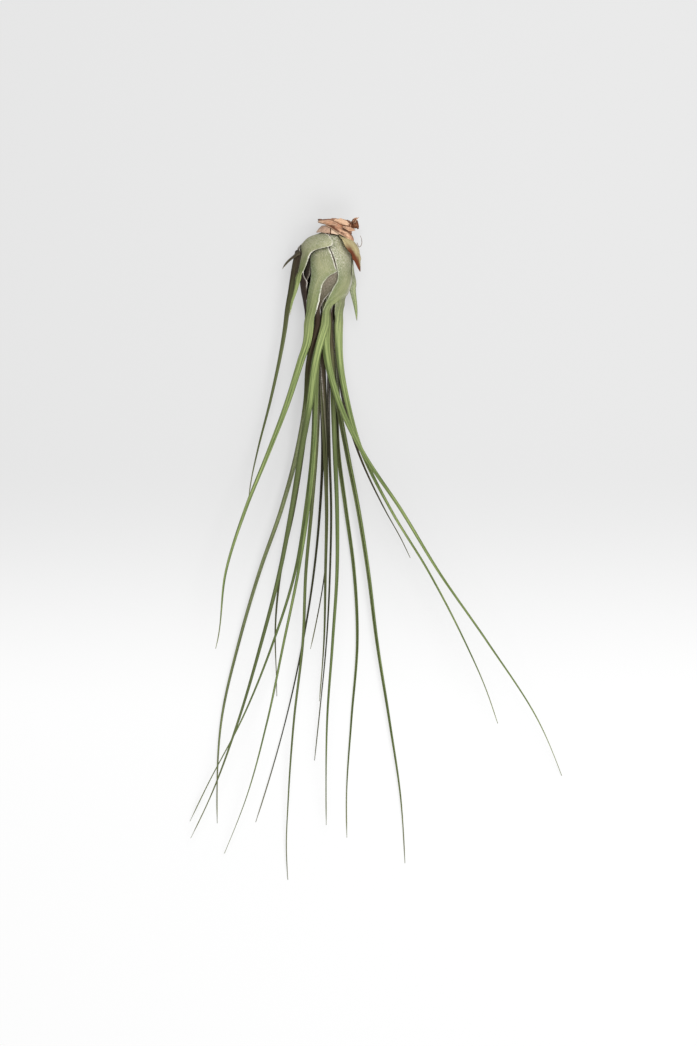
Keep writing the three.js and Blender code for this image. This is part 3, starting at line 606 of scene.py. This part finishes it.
def layer_top(layer, thickness):
    """The Y place where the ellipse of a layer of sheaths reaches the stem."""
    radius = STEM_RADIUS + STEM_CLEARANCE + thickness + layer * LAYER_PITCH
    return BULB_WIDEST_Y + BULB_CAP * np.sqrt(1 - (radius / BULB_RADIUS) ** 2)


def round_axis(y, radius, turn):
    """A point at a radius from the head's axis, turned in degrees from straight up towards +X."""
    angle = np.radians(turn)
    y, x, z = np.broadcast_arrays(y, axis_x(y) + radius * np.sin(angle),
                                  AXIS_HEIGHT + radius * np.cos(angle))
    return np.stack([x, y, z], -1)


def band(half):
    """The columns of a grid: the share of the width, up the outer face and back down the inner one, and 0
    on the outer face and 1 on the inner one."""
    outer = np.linspace(0, 1, half)
    return np.concatenate([outer, outer[::-1]])[None, :], np.repeat([0.0, 1.0], half)[None, :]


def leaf_rows(top, neck, tip):
    """The Y of a leaf's rows: even short steps from top to neck, and even longer ones from neck to tip."""
    sheath_rows = int(np.ceil((top - neck) / SHEATH_ROW))
    blade_rows = int(np.ceil((neck - tip) / BLADE_ROW))
    on_sheath = np.linspace(top, neck, sheath_rows + 1)
    on_blade = np.linspace(neck, tip, blade_rows + 1)[1:]
    return np.concatenate([on_sheath, on_blade])[:, None]


def blade_grid(leaf, turn, y, far, share, inside):
    """A blade's points, the way round it, and how far each point is from the nearer lip.

    The outer half of the columns is an arc of radius r that ends in two lips, and the inner half is a
    groove, depth * r * (1 - (across / lip)^2)^2 deep. r is half of w0 (1 - far)^taper + w1 exp(-fade far),
    with far the share of the way to the tip, or a thread's where that is more. A point is the blade's line
    in X and Z, plus across * (cos face, -sin face) and out * (sin face, cos face). On the head that line
    keeps its distance from the bulb's outside, and past the neck it is the leaf's own way.
    """
    neck = leaf["neck"]
    reach = np.hypot(*leaf["slot"])
    start = round_axis(neck, reach, turn)
    way = [(neck, start[0], start[2])] + leaf["way"]

    lasting, fading = leaf["width"]
    taper = (lasting * np.maximum(0, 1 - far) ** BLADE_TAPER + fading * np.exp(-NECK_FADE * far)) / 2
    radius = np.maximum(taper, THREAD_RADIUS * (1 - THREAD_THINNING * smoothstep(THREAD_START, 1, far)))
    sunk = np.maximum(taper, TIP_RADIUS) - radius

    from_axis = reach + bulb_radius(y) - bulb_radius(neck)
    head_x = axis_x(y) + from_axis * np.sin(np.radians(turn))
    head_z = AXIS_HEIGHT + from_axis * np.cos(np.radians(turn))
    middle_x = np.where(y > neck, head_x, along(way, 1, y))
    middle_z = np.where(y > neck, head_z, along(way, 2, y)) - sunk

    side = 2 * share - 1
    grooved = 1 - smoothstep(GROOVE_CLOSES, 1, far)
    lip = np.radians(mix(CLOSED_LIP_TURN, LIP_TURN, grooved))
    outer_turn = side * lip
    groove = GROOVE_DEPTH * grooved * (1 - side ** 2) ** 2
    depth = np.maximum(THREAD_RADIUS, radius * level_at(leaf["flat"], y))
    across = np.where(inside, np.sin(lip) * side, np.sin(outer_turn)) * radius
    out = np.where(inside, np.cos(lip) + groove, np.cos(outer_turn)) * depth
    face = np.radians(leaf.get("face", turn) + along(leaf["roll"], 1, y))
    x = middle_x + out * np.sin(face) + across * np.cos(face)
    z = middle_z + out * np.cos(face) - across * np.sin(face)
    points = np.stack(np.broadcast_arrays(x, y, z), -1)
    return points, radius * outer_turn, radius * (1 - abs(side)) * lip


def sheath_grid(leaf, turn, y, sheathness, share, inside, seed):
    """A sheath's points, the way round it, and how far each point is from the nearer edge.

    A column is at bulb radius - layer pitch * layer, between two edges that wave a little, as far as the
    leaf is a sheath there. The wall thins to a rim at both edges and has low veins, relief * cos(2 pi * way
    round / pitch).
    """
    shoulder = leaf["shoulder"]
    if "edges" in leaf:
        left, right = (along(leaf["edges"], column, y, True) for column in (1, 2))
    else:
        narrowing = smoothstep(shoulder, mix(shoulder, leaf["neck"], NARROWED), y)
        left = mix(leaf["clasp"][0], turn - leaf["wedge"], narrowing)
        right = mix(leaf["clasp"][1], turn + leaf["wedge"], narrowing)
    outside = bulb_radius(y) - level_at(leaf["layer"], y) * LAYER_PITCH
    degrees_per_mm = np.degrees(sheathness) / outside
    left = left + degrees_per_mm * (uneven(RIM_WAVES, seed, y) + uneven(RIM_JAGS, seed + 3, y))
    right = right + degrees_per_mm * (uneven(RIM_WAVES, seed + 1, y) + uneven(RIM_JAGS, seed + 4, y))

    arc = np.radians(right - left) * outside
    way_round = (share - 0.5) * arc
    rim_distance = np.minimum(share, 1 - share) * arc
    rim = smoothstep(0, RIM_BAND, rim_distance)
    wall = mix(RIM_THICKNESS, leaf["thick"], rim)
    sway = uneven(VEIN_SWAY, seed + 5, way_round, y)
    vein = VEIN_RELIEF * np.cos(2 * np.pi * way_round / VEIN_PITCH + sway) * rim
    swell = uneven(SWELLS, seed + 2, way_round, y) * rim
    radius = outside - RIM_SINK * (1 - rim) + np.where(inside, -wall, vein + swell)
    return round_axis(y, radius, mix(left, right, share)), way_round, rim_distance


def leaf_looks(leaf, sheathed, y, far, share, inside, rim_distance, seed):
    """What a leaf's material reads at each point, from 0 to 1: the leaf's own rows, and products of its
    numbers with smooth steps across and along it."""
    shoulder = leaf["shoulder"]
    neck = leaf["neck"]
    on_left = share < 0.5
    fade_start, fade_end = (neck + down for down in MARGIN_FADE)
    rim_end = leaf.get("rim_end", (fade_start, fade_end))
    lasting = np.where(on_left, smoothstep(fade_end, fade_start, y), smoothstep(rim_end[1], rim_end[0], y))
    margin_width = np.where(on_left, MARGIN_WIDTH, leaf["rim_width"])
    worn = np.clip(MARGIN_MIDDLE + uneven(MARGIN_WEAR, seed + 6, y, share), MARGIN_LEAST, 1)
    rims = np.where(on_left, *leaf["rims"]) * worn
    # Painted shade on the sheath beside its edges
    edge_shade = np.where(on_left, *leaf["edge_shade"]) * (1 - smoothstep(*EDGE_SHADE_BAND, rim_distance))
    scorch_share = mix(*SCORCH_SHARE, smoothstep(*SCORCH_SPREAD, y)) + uneven(SCORCH_WANDER, seed + 7, y)
    scorched = leaf["scorch"] * smoothstep(scorch_share, scorch_share - SCORCH_BORDER, share)
    # Painted shade among the bunched blades just below the neck, and a darker green farther down
    shade_and_deepening = sum(most * smoothstep(start, end, y) for most, start, end in SHADE_AND_DEEPENING)
    return {
        "sheath": sheathed * (1 - smoothstep(shoulder + SHEATH_FADE[0], neck + SHEATH_FADE[1], y)),
        "margin_and_highlight": (1 - smoothstep(MARGIN_FULL, margin_width, rim_distance)) * rims * lasting,
        # The stain, partly painted shade where leaves lie deep in the bundle
        "stain_and_shade": np.maximum(level_at(leaf["stain_and_shade"], y), scorched * smoothstep(*SCORCH_START, y)),
        "frost": level_at(leaf["frost"], y),
        # How dark the green is, partly painted shade
        "deep": mix(level_at(leaf["deep"], y), 1, shade_and_deepening),
        "edge_shade": edge_shade * (1 - smoothstep(neck + EDGE_SHADE_FADE[0], neck + EDGE_SHADE_FADE[1], y)),
        # Painted shade in the groove's hollow
        "groove_shade": inside * smoothstep(0, GROOVE_SHADE_EDGE, rim_distance),
        "tip": smoothstep(DRY_TIP_START, 1, far),
    }


def leaf_surface(leaf):
    """Points of a leaf, [rows, columns, 3], the ways round and along it, and what its material reads.

    The grid of its sheath and that of its blade are mixed from shoulder to neck. A leaf with neither clasp
    nor edges is all blade. What would be under the floor is raised to it.
    """
    seed = sum(ord(letter) * (place + 1) for place, letter in enumerate(leaf["name"]))
    shoulder = leaf["shoulder"]
    neck = leaf["neck"]
    sheathed = "clasp" in leaf or "edges" in leaf
    turn = np.degrees(np.arctan2(*leaf["slot"]))
    top = BARE_LEAF_TOP_Y
    if sheathed:
        first_edges = leaf.get("clasp") or leaf["edges"][0][1:]
        turn += 360 * round((sum(first_edges) / 2 - turn) / 360)
        top = layer_top(level_at(leaf["layer"], HEAD_TOP_Y), leaf["thick"])

    tip = leaf["way"][-1][0]
    y = leaf_rows(top, neck, tip)
    far = np.maximum(0, (neck - y) / (neck - tip))
    share, inside = band(leaf["fine"])
    points, way_round, rim_distance = blade_grid(leaf, turn, y, far, share, inside)
    if sheathed:
        bladed = smoothstep(mix(shoulder, neck, BLADE_BEGINS), neck, y)
        sheath, sheath_round, sheath_rim = sheath_grid(leaf, turn, y, 1 - bladed, share, inside, seed)
        points = mix(sheath, points, bladed[..., None])
        way_round = mix(sheath_round, way_round, bladed)
        rim_distance = mix(sheath_rim, rim_distance, bladed)
    points[..., 2] = np.maximum(points[..., 2], 0)
    looks = leaf_looks(leaf, sheathed, y, far, share, inside, rim_distance, seed)
    return points, (way_round + INNER_FACE_SHIFT * inside, -y), looks


def paper_looks(share, inside, width, length, brown, seed, pale=0):
    """Pale worn edges, a pale share over the whole piece that is partly a painted highlight, and brown where
    the noise is high.
    """
    edge = np.minimum(share, 1 - share) * width
    noise = uneven(PAPER_BROWN_NOISE, seed, share * width, length)
    # The margin look also carries a piece's pale share, which is partly a painted highlight
    return {"margin_and_highlight": np.maximum(PAPER_EDGE_PALE * (1 - smoothstep(*PAPER_EDGE, edge)), pale),
            "stain_and_shade": brown * smoothstep(*PAPER_BROWN, noise) + PAPER_INSIDE_BROWN * inside}


def sleeve_sheet(sheet, seed):
    """A sheet of the sleeve: the ellipse (across, deep) at each place, plus lift and wrinkles, between two
    turns. Its two ends are torn: the rows there move along the sleeve by seeded noise."""
    share, inside = band(HUSK_HALF)
    start, end = sheet["reach"]
    at = np.linspace(start, end, HUSK_ROWS)[:, None]
    way = by_place(HUSK_WAY)
    front, back = sheet["turns"] or (along(way, 5, -at), HUSK_BACK)
    turn = mix(front, back, share) + uneven(HUSK_SWAY, seed + 5, at)
    near_end = 1 - smoothstep(0, HUSK_END, np.minimum(at - start, end - at))
    at = at + near_end * (sheet["torn"] * uneven(HUSK_TEARS, seed, share))
    x, y, across, deep = (along(way, column, -at) for column in (1, 2, 3, 4))
    x = x + HUSK_PAST_START * np.minimum(at, 0) + HUSK_PAST_END * np.maximum(at - len(HUSK_WAY) + 1, 0)
    curl = near_end * uneven(HUSK_CURL, seed + 4, share)
    lift = sheet["lift"] + uneven(HUSK_WRINKLES, seed + 2, at, turn) + curl - PAPER_WALL * inside
    angle = np.radians(turn)
    points = np.stack([x, y + (across + lift) * np.sin(angle),
                       STEM_END_HEIGHT + (deep + lift) * np.cos(angle)], -1)
    width = np.radians(back - front) * deep
    looks = paper_looks(share, inside, width, at * HUSK_BROWN_LENGTH, sheet["brown"], seed + 6)
    way_round = (share - 0.5) * width + INNER_FACE_SHIFT * inside
    return points, (way_round, at * HUSK_PLACE_LENGTH), looks


def strip_surface(strip, seed):
    """A thin strip along a path: each row lies across the path, tilted about it, with a low crown, a torn
    outline and wrinkles. The crown is crown * width * (1 - (2 share - 1)^2) high."""
    share, inside = band(STRIP_HALF)
    x, y, z, width, tilt = columns_of(strip["way"], STRIP_ROWS)
    at = np.linspace(0, len(strip["way"]) - 1, STRIP_ROWS)[:, None]
    centre = np.stack([x, y, z], -1)
    forward = unit(np.gradient(centre, axis=0))
    level = unit(np.cross((0.0, 0.0, 1.0), forward))
    upward = np.cross(forward, level)
    angle = np.radians(tilt)[:, None]
    sideways = level * np.cos(angle) - upward * np.sin(angle)
    outward = np.cross(forward, sideways)

    width = width[:, None]
    side = (share - 0.5) * width * (1 + uneven(STRIP_OUTLINE, seed, at))
    arch = strip["crown"] * width * (1 - (2 * share - 1) ** 2)
    rise = arch + uneven(STRIP_CRINKLE, seed + 1, at, share) - PAPER_WALL * inside
    near_end = smoothstep(STRIP_END, 1, abs(2 * at / at[-1] - 1))
    slide = uneven(STRIP_TEAR, seed + 2, share) * near_end
    points = (centre[:, None] + sideways[:, None] * side[..., None] + outward[:, None] * rise[..., None]
              + forward[:, None] * slide[..., None])
    looks = paper_looks(share, inside, width, at * STRIP_BROWN_LENGTH, strip["brown"], seed + 3,
                        strip["pale"])
    return points, (side + INNER_FACE_SHIFT * inside, at * STRIP_PLACE_LENGTH), looks


def dried_sheath_surface(part):
    """Part of the dried sheath between two turns: a cone round the axis, with a slanting, torn foot.

    Its rows run evenly from the top to the foot, mix(top, foot, share of the rows).
    """
    start, end, seed = part["start"], part["end"], part["seed"]
    share, inside = band(DRIED_HALF)
    top = DRIED_ROWS[0][0]
    left, right = DRIED_ROWS[-1][1:3]
    around = mix(max(left, start), min(right, end), share)
    foot = np.interp(around, np.linspace(left, right, len(DRIED_FOOT)), DRIED_FOOT)
    foot = foot + uneven(DRIED_TEARS, seed + 1, around)
    y = mix(top, foot, np.linspace(0, 1, DRIED_GRID_ROWS)[:, None])
    left, right, radius = (along(DRIED_ROWS, column, y) for column in (1, 2, 3))
    turn = mix(np.maximum(left, start), np.minimum(right, end), share) + uneven(DRIED_SWAY, seed, y)
    wrinkle = uneven(DRIED_WRINKLES, seed + 3, y, turn)
    points = round_axis(y, radius + wrinkle - PAPER_WALL * inside, turn)
    width = np.radians(end - start) * radius
    looks = paper_looks(share, inside, width, y * DRIED_BROWN_LENGTH, part["brown"], seed + 5,
                        part["pale"])
    return points, ((share - 0.5) * width + INNER_FACE_SHIFT * inside, y), looks


def tube_surface(centre, radius, columns, knobs, seed):
    """A round tube along a path: centre + radius (cos(a) side + sin(a) up), with seeded knobs. Its
    material reads no looks."""
    forward = unit(np.gradient(centre, axis=0))
    side = unit(np.stack([forward[:, 1], -forward[:, 0], 0 * forward[:, 0]], -1))
    up = np.cross(side, forward)
    angle = np.linspace(0, 2 * np.pi, columns, endpoint=False)[None, :]
    cosine, sine = np.cos(angle), np.sin(angle)
    length = np.arange(len(centre))[:, None] * np.linalg.norm(np.diff(centre, axis=0), axis=1).mean()
    relief = uneven(KNOBS, seed, length, cosine) + uneven(LONG_KNOBS, seed + 1, length, sine)
    bumpy = radius[:, None] + knobs * relief
    points = centre[:, None] + bumpy[..., None] * (cosine[..., None] * side[:, None]
                                                   + sine[..., None] * up[:, None])
    return points, (angle * radius[:, None], length), {}


def stem_surface():
    """The dead end of the stem, which rises from the head's axis to its own height by a smooth step."""
    x, y, radius = columns_of(STEM_WAY, STEM_ROWS)
    z = mix(AXIS_HEIGHT, STEM_END_HEIGHT, smoothstep(*STEM_RISE, y))
    return tube_surface(np.stack([x, y, z], -1), radius, STEM_COLUMNS, STEM_KNOBS, STEM_SEED)


def root_surface():
    """The curled dead root, whose radius falls evenly from its foot to its end."""
    centre = np.stack(columns_of(ROOT_WAY, ROOT_ROWS), -1)
    radius = mix(*ROOT_RADIUS, np.linspace(0, 1, ROOT_ROWS))
    return tube_surface(centre, radius, ROOT_COLUMNS, ROOT_KNOBS, ROOT_SEED)


def grid_piece(name, points, ways, looks, material, slot, replaced):
    """A closed mesh from a grid: the columns join into rings, and a strip across each end ring shuts it."""
    rows, columns = points.shape[:2]
    index = np.arange(rows * columns).reshape(rows, columns)
    following = np.roll(index, -1, 1)
    skin = np.stack([index[:-1], index[1:], following[1:], following[:-1]], -1).reshape(-1, 4)
    near = np.arange(columns // 2 - 1)
    far = columns - 1 - near
    first, last = index[0], index[-1]
    start_cap = np.stack([first[near], first[near + 1], first[far - 1], first[far]], -1)
    end_cap = np.stack([last[near], last[far], last[far - 1], last[near + 1]], -1)
    faces = np.concatenate([skin, start_cap, end_cap])

    mesh = bpy.data.meshes.new(name)
    mesh.from_pydata((points.reshape(-1, 3) * MM).tolist(), [], faces.tolist())
    for label, value in looks.items():
        value = np.broadcast_to(value, (rows, columns)).astype(np.float32)
        mesh.attributes.new(label, "FLOAT", "POINT").data.foreach_set("value", value.ravel())
    uv = np.stack([np.broadcast_to(way, (rows, columns)).ravel() for way in ways], -1)[faces.ravel()]
    uv_layer = mesh.uv_layers.new(name="surface")
    uv_layer.data.foreach_set("uv", (uv * MAP_SCALE).astype(np.float32).ravel())
    mesh.shade_smooth()
    mesh.materials.append(material)
    piece = bpy.data.objects.new(name, mesh)
    bpy.context.scene.collection.objects.link(piece)
    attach(piece, "root")
    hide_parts(*replaced)


def linear(code):
    """The linear colour of a six-figure sRGB code: ((c + 0.055) / 1.055)^2.4, or c / 12.92 when dark."""
    parts = np.array([int(code[i:i + 2], 16) / 255 for i in (0, 2, 4)])
    parts = np.where(parts > 0.04045, ((parts + 0.055) / 1.055) ** 2.4, parts / 12.92)
    return (*parts, 1.0)


class Nodes:
    """Short ways to add nodes to one material."""

    def __init__(self, name):
        self.material = bpy.data.materials.new(name)
        self.material.use_nodes = True
        self.tree = self.material.node_tree
        self.shader = self.tree.nodes["Principled BSDF"]

    def add(self, kind, **settings):
        """A new node with its settings."""
        node = self.tree.nodes.new(kind)
        for key, value in settings.items():
            setattr(node, key, value)
        return node

    def feed(self, socket, value):
        """Link another node's output to a socket, or give it a plain value."""
        if isinstance(value, bpy.types.NodeSocket):
            self.tree.links.new(value, socket)
        else:
            socket.default_value = value

    def look(self, label):
        """A float attribute of the piece."""
        return self.add("ShaderNodeAttribute", attribute_name=label).outputs["Fac"]

    def surface(self, squeeze):
        """The piece's own way round and way along, squeezed by two numbers."""
        mapping = self.add("ShaderNodeMapping")
        self.feed(mapping.inputs["Vector"], self.add("ShaderNodeUVMap", uv_map="surface").outputs["UV"])
        mapping.inputs["Scale"].default_value = (*squeeze, 1)
        return mapping.outputs["Vector"]

    def place(self):
        """The place on the object, in metres."""
        return self.add("ShaderNodeTexCoord").outputs["Object"]

    def plus(self, first, second):
        """first + second, held between 0 and 1."""
        return self.math("ADD", first, second, True)

    def times(self, first, second):
        """first * second."""
        return self.math("MULTIPLY", first, second, False)

    def added(self, shares, first, second):
        """first and second, each times its share, added."""
        return self.plus(self.times(first, shares[0]), self.times(second, shares[1]))

    def math(self, operation, first, second, clamp):
        """A sum or product of two values."""
        node = self.add("ShaderNodeMath", operation=operation, use_clamp=clamp)
        self.feed(node.inputs[0], first)
        self.feed(node.inputs[1], second)
        return node.outputs["Value"]

    def noise(self, scale, detail, rough=0.5, squeeze=None):
        """Noise over the place on the object or, with squeeze, over the piece's own surface."""
        node = self.add("ShaderNodeTexNoise")
        self.feed(node.inputs["Vector"], self.surface(squeeze) if squeeze else self.place())
        node.inputs["Scale"].default_value = scale
        node.inputs["Detail"].default_value = detail
        node.inputs["Roughness"].default_value = rough
        return node.outputs["Fac"]

    def step(self, value, low, high, start, end):
        """value taken from low..high to start..end, smoothly."""
        node = self.add("ShaderNodeMapRange", interpolation_type="SMOOTHSTEP")
        self.feed(node.inputs["Value"], value)
        for socket, number in zip(("From Min", "From Max", "To Min", "To Max"), (low, high, start, end)):
            node.inputs[socket].default_value = number
        return node.outputs["Result"]

    def blend(self, share, first, second):
        """The colour first + (second - first) * share."""
        node = self.add("ShaderNodeMix", data_type="RGBA")
        self.feed(node.inputs["Factor"], share)
        self.feed(node.inputs["A"], first)
        self.feed(node.inputs["B"], second)
        return node.outputs["Result"]

    def finish(self, colour, rough, height, relief, sheen=0.0):
        """The material, with its colour and roughness, and its height as a bump of relief millimetres."""
        self.feed(self.shader.inputs["Base Color"], colour)
        self.feed(self.shader.inputs["Roughness"], rough)
        self.shader.inputs["Sheen Weight"].default_value = sheen
        self.shader.inputs["Sheen Roughness"].default_value = SHEEN_ROUGHNESS
        self.shader.inputs["Specular IOR Level"].default_value = GLOSS
        node = self.add("ShaderNodeBump")
        node.inputs["Distance"].default_value = relief * MM
        node.inputs["Strength"].default_value = 1.0
        self.feed(node.inputs["Height"], height)
        self.feed(self.shader.inputs["Normal"], node.outputs["Normal"])
        return self.material


def leaf_material(name, blade, blade_deep_and_shade, sheath, sheath_deep, stain_and_shade, scurf, rim):
    """Green leaf under pale scurf: lengthwise streaks, nerves, purple stain, pale rims and dry tips. Painted
    shade darkens it beside the sheath's edges and in the groove, and is part of the purple stain and the deep
    green.
    """
    n = Nodes(name)
    streaks = n.noise(**STREAKS)
    nerves = n.noise(**NERVES)
    patches = n.noise(**PATCHES)
    flecks = n.noise(**FLECKS)
    grain = n.noise(**GRAIN)
    breaks = n.noise(**BREAKS)

    blade_colour = n.blend(n.step(streaks, *TWO_TONES), linear(blade), linear(blade_deep_and_shade))
    # The deep green, partly painted shade
    blade_colour = n.blend(n.look("deep"), blade_colour, linear(blade_deep_and_shade))
    sheath_colour = n.blend(n.step(patches, *TWO_TONES), linear(sheath), linear(sheath_deep))
    # Painted shade darkens the sheath beside its edges
    sheath_colour = n.blend(n.look("edge_shade"), sheath_colour, linear(blade_deep_and_shade))
    colour = n.blend(n.look("sheath"), blade_colour, sheath_colour)
    colour = n.blend(n.step(nerves, *NERVE_LINES), colour, linear(blade_deep_and_shade))
    mottle = n.added(MOTTLE_SHARES, patches, streaks)
    # The purple stain, partly painted shade deep in the bundle and in the channels
    stain_and_shade_share = n.times(n.look("stain_and_shade"), n.step(mottle, *STAIN_AND_SHADE_MOTTLE))
    colour = n.blend(stain_and_shade_share, colour, linear(stain_and_shade))
    # Painted shade in the groove's hollow, between purple and deep green
    groove_shade_colour = n.blend(GROOVE_SHADE_GREEN, linear(stain_and_shade), linear(blade_deep_and_shade))
    colour = n.blend(n.times(n.look("groove_shade"), GROOVE_SHADE_STRENGTH), colour, groove_shade_colour)
    scurfy = n.times(n.step(flecks, *SCURF_FLECKS), n.step(grain, *SCURF_GRAIN))
    colour = n.blend(n.times(scurfy, n.look("frost")), colour, linear(scurf))
    margin_and_highlight = n.times(n.look("margin_and_highlight"), n.step(breaks, *RIM_BREAKS))
    colour = n.blend(margin_and_highlight, colour, linear(rim))
    colour = n.blend(n.times(n.look("tip"), DRY_TIP_STRENGTH), colour, linear(DRY_TIP_COLOUR))

    height = n.added(LEAF_HEIGHT_SHARES, flecks, nerves)
    return n.finish(colour, n.step(flecks, *LEAF_ROUGHNESS), height, LEAF_RELIEF)


def papery_material(name, light, mid, dark, pale):
    """Dry bract: fine lengthwise fibres, brown streaks and pale worn edges, and a piece's pale share, which
    is partly a painted highlight.
    """
    n = Nodes(name)
    fibres = n.noise(**PAPER_FIBRES)
    streaks = n.noise(**PAPER_STREAKS)
    patches = n.noise(**PAPER_PATCHES)
    colour = n.blend(n.step(fibres, *TWO_TONES), linear(light), linear(mid))
    colour = n.blend(n.step(streaks, *PAPER_STREAK_LINES), colour, linear(dark))
    colour = n.blend(n.step(patches, *PAPER_PALE_PATCHES), colour, linear(pale))
    colour = n.blend(n.look("stain_and_shade"), colour, linear(dark))
    # Pale margins, and a piece's pale share, which is partly a painted highlight
    colour = n.blend(n.times(n.look("margin_and_highlight"), PAPER_MARGIN_STRENGTH), colour, linear(pale))
    height = n.added(PAPER_HEIGHT_SHARES, fibres, streaks)
    return n.finish(colour, n.step(fibres, *PAPER_ROUGHNESS), height, PAPER_RELIEF, PAPER_SHEEN)


def woody_material(name, light, dark, pit):
    """Dead stem: short fibres and dark pits."""
    n = Nodes(name)
    fibres = n.noise(**WOOD_FIBRES)
    pits = n.noise(**WOOD_PITS)
    colour = n.blend(n.step(fibres, *TWO_TONES), linear(light), linear(dark))
    colour = n.blend(n.step(pits, *WOOD_DARK_PITS), colour, linear(pit))
    return n.finish(colour, n.step(pits, *WOOD_ROUGHNESS), n.plus(fibres, pits), WOOD_RELIEF)


def lay_floor():
    """A square sheet just under the leaves, whose glow is a smooth step in Y."""
    mesh = bpy.data.meshes.new("floor")
    side = FLOOR_SIZE / 2 * MM
    z = -FLOOR_DEPTH * MM
    mesh.from_pydata([(-side, -side, z), (side, -side, z), (side, side, z), (-side, side, z)], [],
                     [(0, 1, 2, 3)])
    n = Nodes("pale floor")
    place = n.add("ShaderNodeSeparateXYZ")
    n.feed(place.inputs["Vector"], n.place())
    glow = n.step(place.outputs["Y"], *(y * MM for y in GLOW_BETWEEN), *GLOW)
    n.feed(n.shader.inputs["Emission Strength"], glow)
    n.shader.inputs["Emission Color"].default_value = WHITE
    n.shader.inputs["Base Color"].default_value = FLOOR_GREY
    n.shader.inputs["Roughness"].default_value = FLOOR_ROUGHNESS
    n.shader.inputs["Specular IOR Level"].default_value = 0
    mesh.materials.append(n.material)
    floor = bpy.data.objects.new("floor", mesh)
    bpy.context.scene.collection.objects.link(floor)


def light_room():
    """The same white light from everywhere."""
    world = bpy.data.worlds.new("soft room")
    world.use_nodes = True
    background = world.node_tree.nodes["Background"]
    background.inputs["Color"].default_value = WHITE
    background.inputs["Strength"].default_value = ROOM_LIGHT
    bpy.context.scene.world = world


def soft_lamp(name, place, aim, side, power):
    """A square area light at place that faces aim."""
    light = bpy.data.lights.new(name, "AREA")
    light.size = side * MM
    light.energy = power
    lamp = bpy.data.objects.new(name, light)
    lamp.location = Vector(place) * MM
    lamp.rotation_euler = (Vector(aim) - Vector(place)).to_track_quat("-Z", "Y").to_euler()
    bpy.context.scene.collection.objects.link(lamp)


def set_camera():
    """A camera straight over the middle of the photograph, at pixel size * long side * lens / sensor."""
    camera = bpy.data.cameras.new("camera")
    camera.lens = LENS
    camera.sensor_width = SENSOR
    camera_object = bpy.data.objects.new("camera", camera)
    x = (PHOTO_WIDTH / 2 - ORIGIN_COLUMN) * PIXEL
    y = (ORIGIN_ROW - PHOTO_HEIGHT / 2) * PIXEL
    z = PHOTO_HEIGHT * PIXEL * LENS / SENSOR + TRUE_SIZE_HEIGHT
    camera_object.location = (x * MM, y * MM, z * MM)
    bpy.context.scene.collection.objects.link(camera_object)
    bpy.context.scene.camera = camera_object


green = leaf_material("green leaf", blade="9BA96A", blade_deep_and_shade="4A5A2D", sheath="8A8C64",
                      sheath_deep="62693C", stain_and_shade="38291F", scurf="C8C3B4", rim="F0EBE2")
# The dark leaf is a shaded copy of the green leaf: painted shade for the leaves deep in the bundle
dark = leaf_material("dark leaf", blade="66744A", blade_deep_and_shade="323D1D", sheath="6F7552",
                     sheath_deep="454C31", stain_and_shade="2B1F1B", scurf="ABAC9A", rim="D8D0C0")
purple = leaf_material("purple leaf", blade="7A8655", blade_deep_and_shade="444D27", sheath="6B6050",
                       sheath_deep="453A2E", stain_and_shade="2E1D18", scurf="A8A294", rim="ECE5DB")
bract = papery_material("dried bract", light="B9AE84", mid="9C8D62", dark="5E2E17", pale="E0CEA6")
tan = papery_material("tan sheath", light="C6A992", mid="B59883", dark="7A5A47", pale="DDC3A6")
papery = papery_material("dried husk", light="BA9178", mid="8C5A3B", dark="45210F", pale="F8DAB8")
woody = woody_material("dead stem", light="7A5138", dark="54301F", pit="2C180F")
thready = woody_material("dead root", light="8E7F74", dark="74675E", pit="5B4F49")

leaf_finishes = {"leaf_green": green, "leaf_dark": dark, "leaf_purple": purple, "papery": bract}
for leaf in LEAVES:
    leaf = {**ORDINARY_LEAF, **leaf}
    finish = leaf["finish"]
    grid_piece(leaf["name"] + "_skin", *leaf_surface(leaf), leaf_finishes[finish], finish, [leaf["name"]])
for number, sheet in enumerate(HUSK_SHEETS):
    surface = sleeve_sheet(sheet, SHEET_SEED + SEED_STEP * number)
    grid_piece(f"husk_sheet_{number + 1}", *surface, papery, "papery", ["dried_husk"])
for number, strip in enumerate(STRIPS):
    surface = strip_surface(strip, STRIP_SEED + SEED_STEP * number)
    grid_piece(strip["name"], *surface, papery, "papery", ["dried_husk"])
for part in DRIED_PARTS:
    grid_piece(part["name"], *dried_sheath_surface(part), tan, "papery", ["dried_sheath"])
grid_piece("stem_bark", *stem_surface(), woody, "woody", ["stem"])
grid_piece("root_thread", *root_surface(), thready, "woody", ["root_hair"])

lay_floor()
light_room()
for lamp in LAMPS:
    soft_lamp(**lamp)
set_camera()
bpy.context.scene.view_settings.view_transform = "Standard"
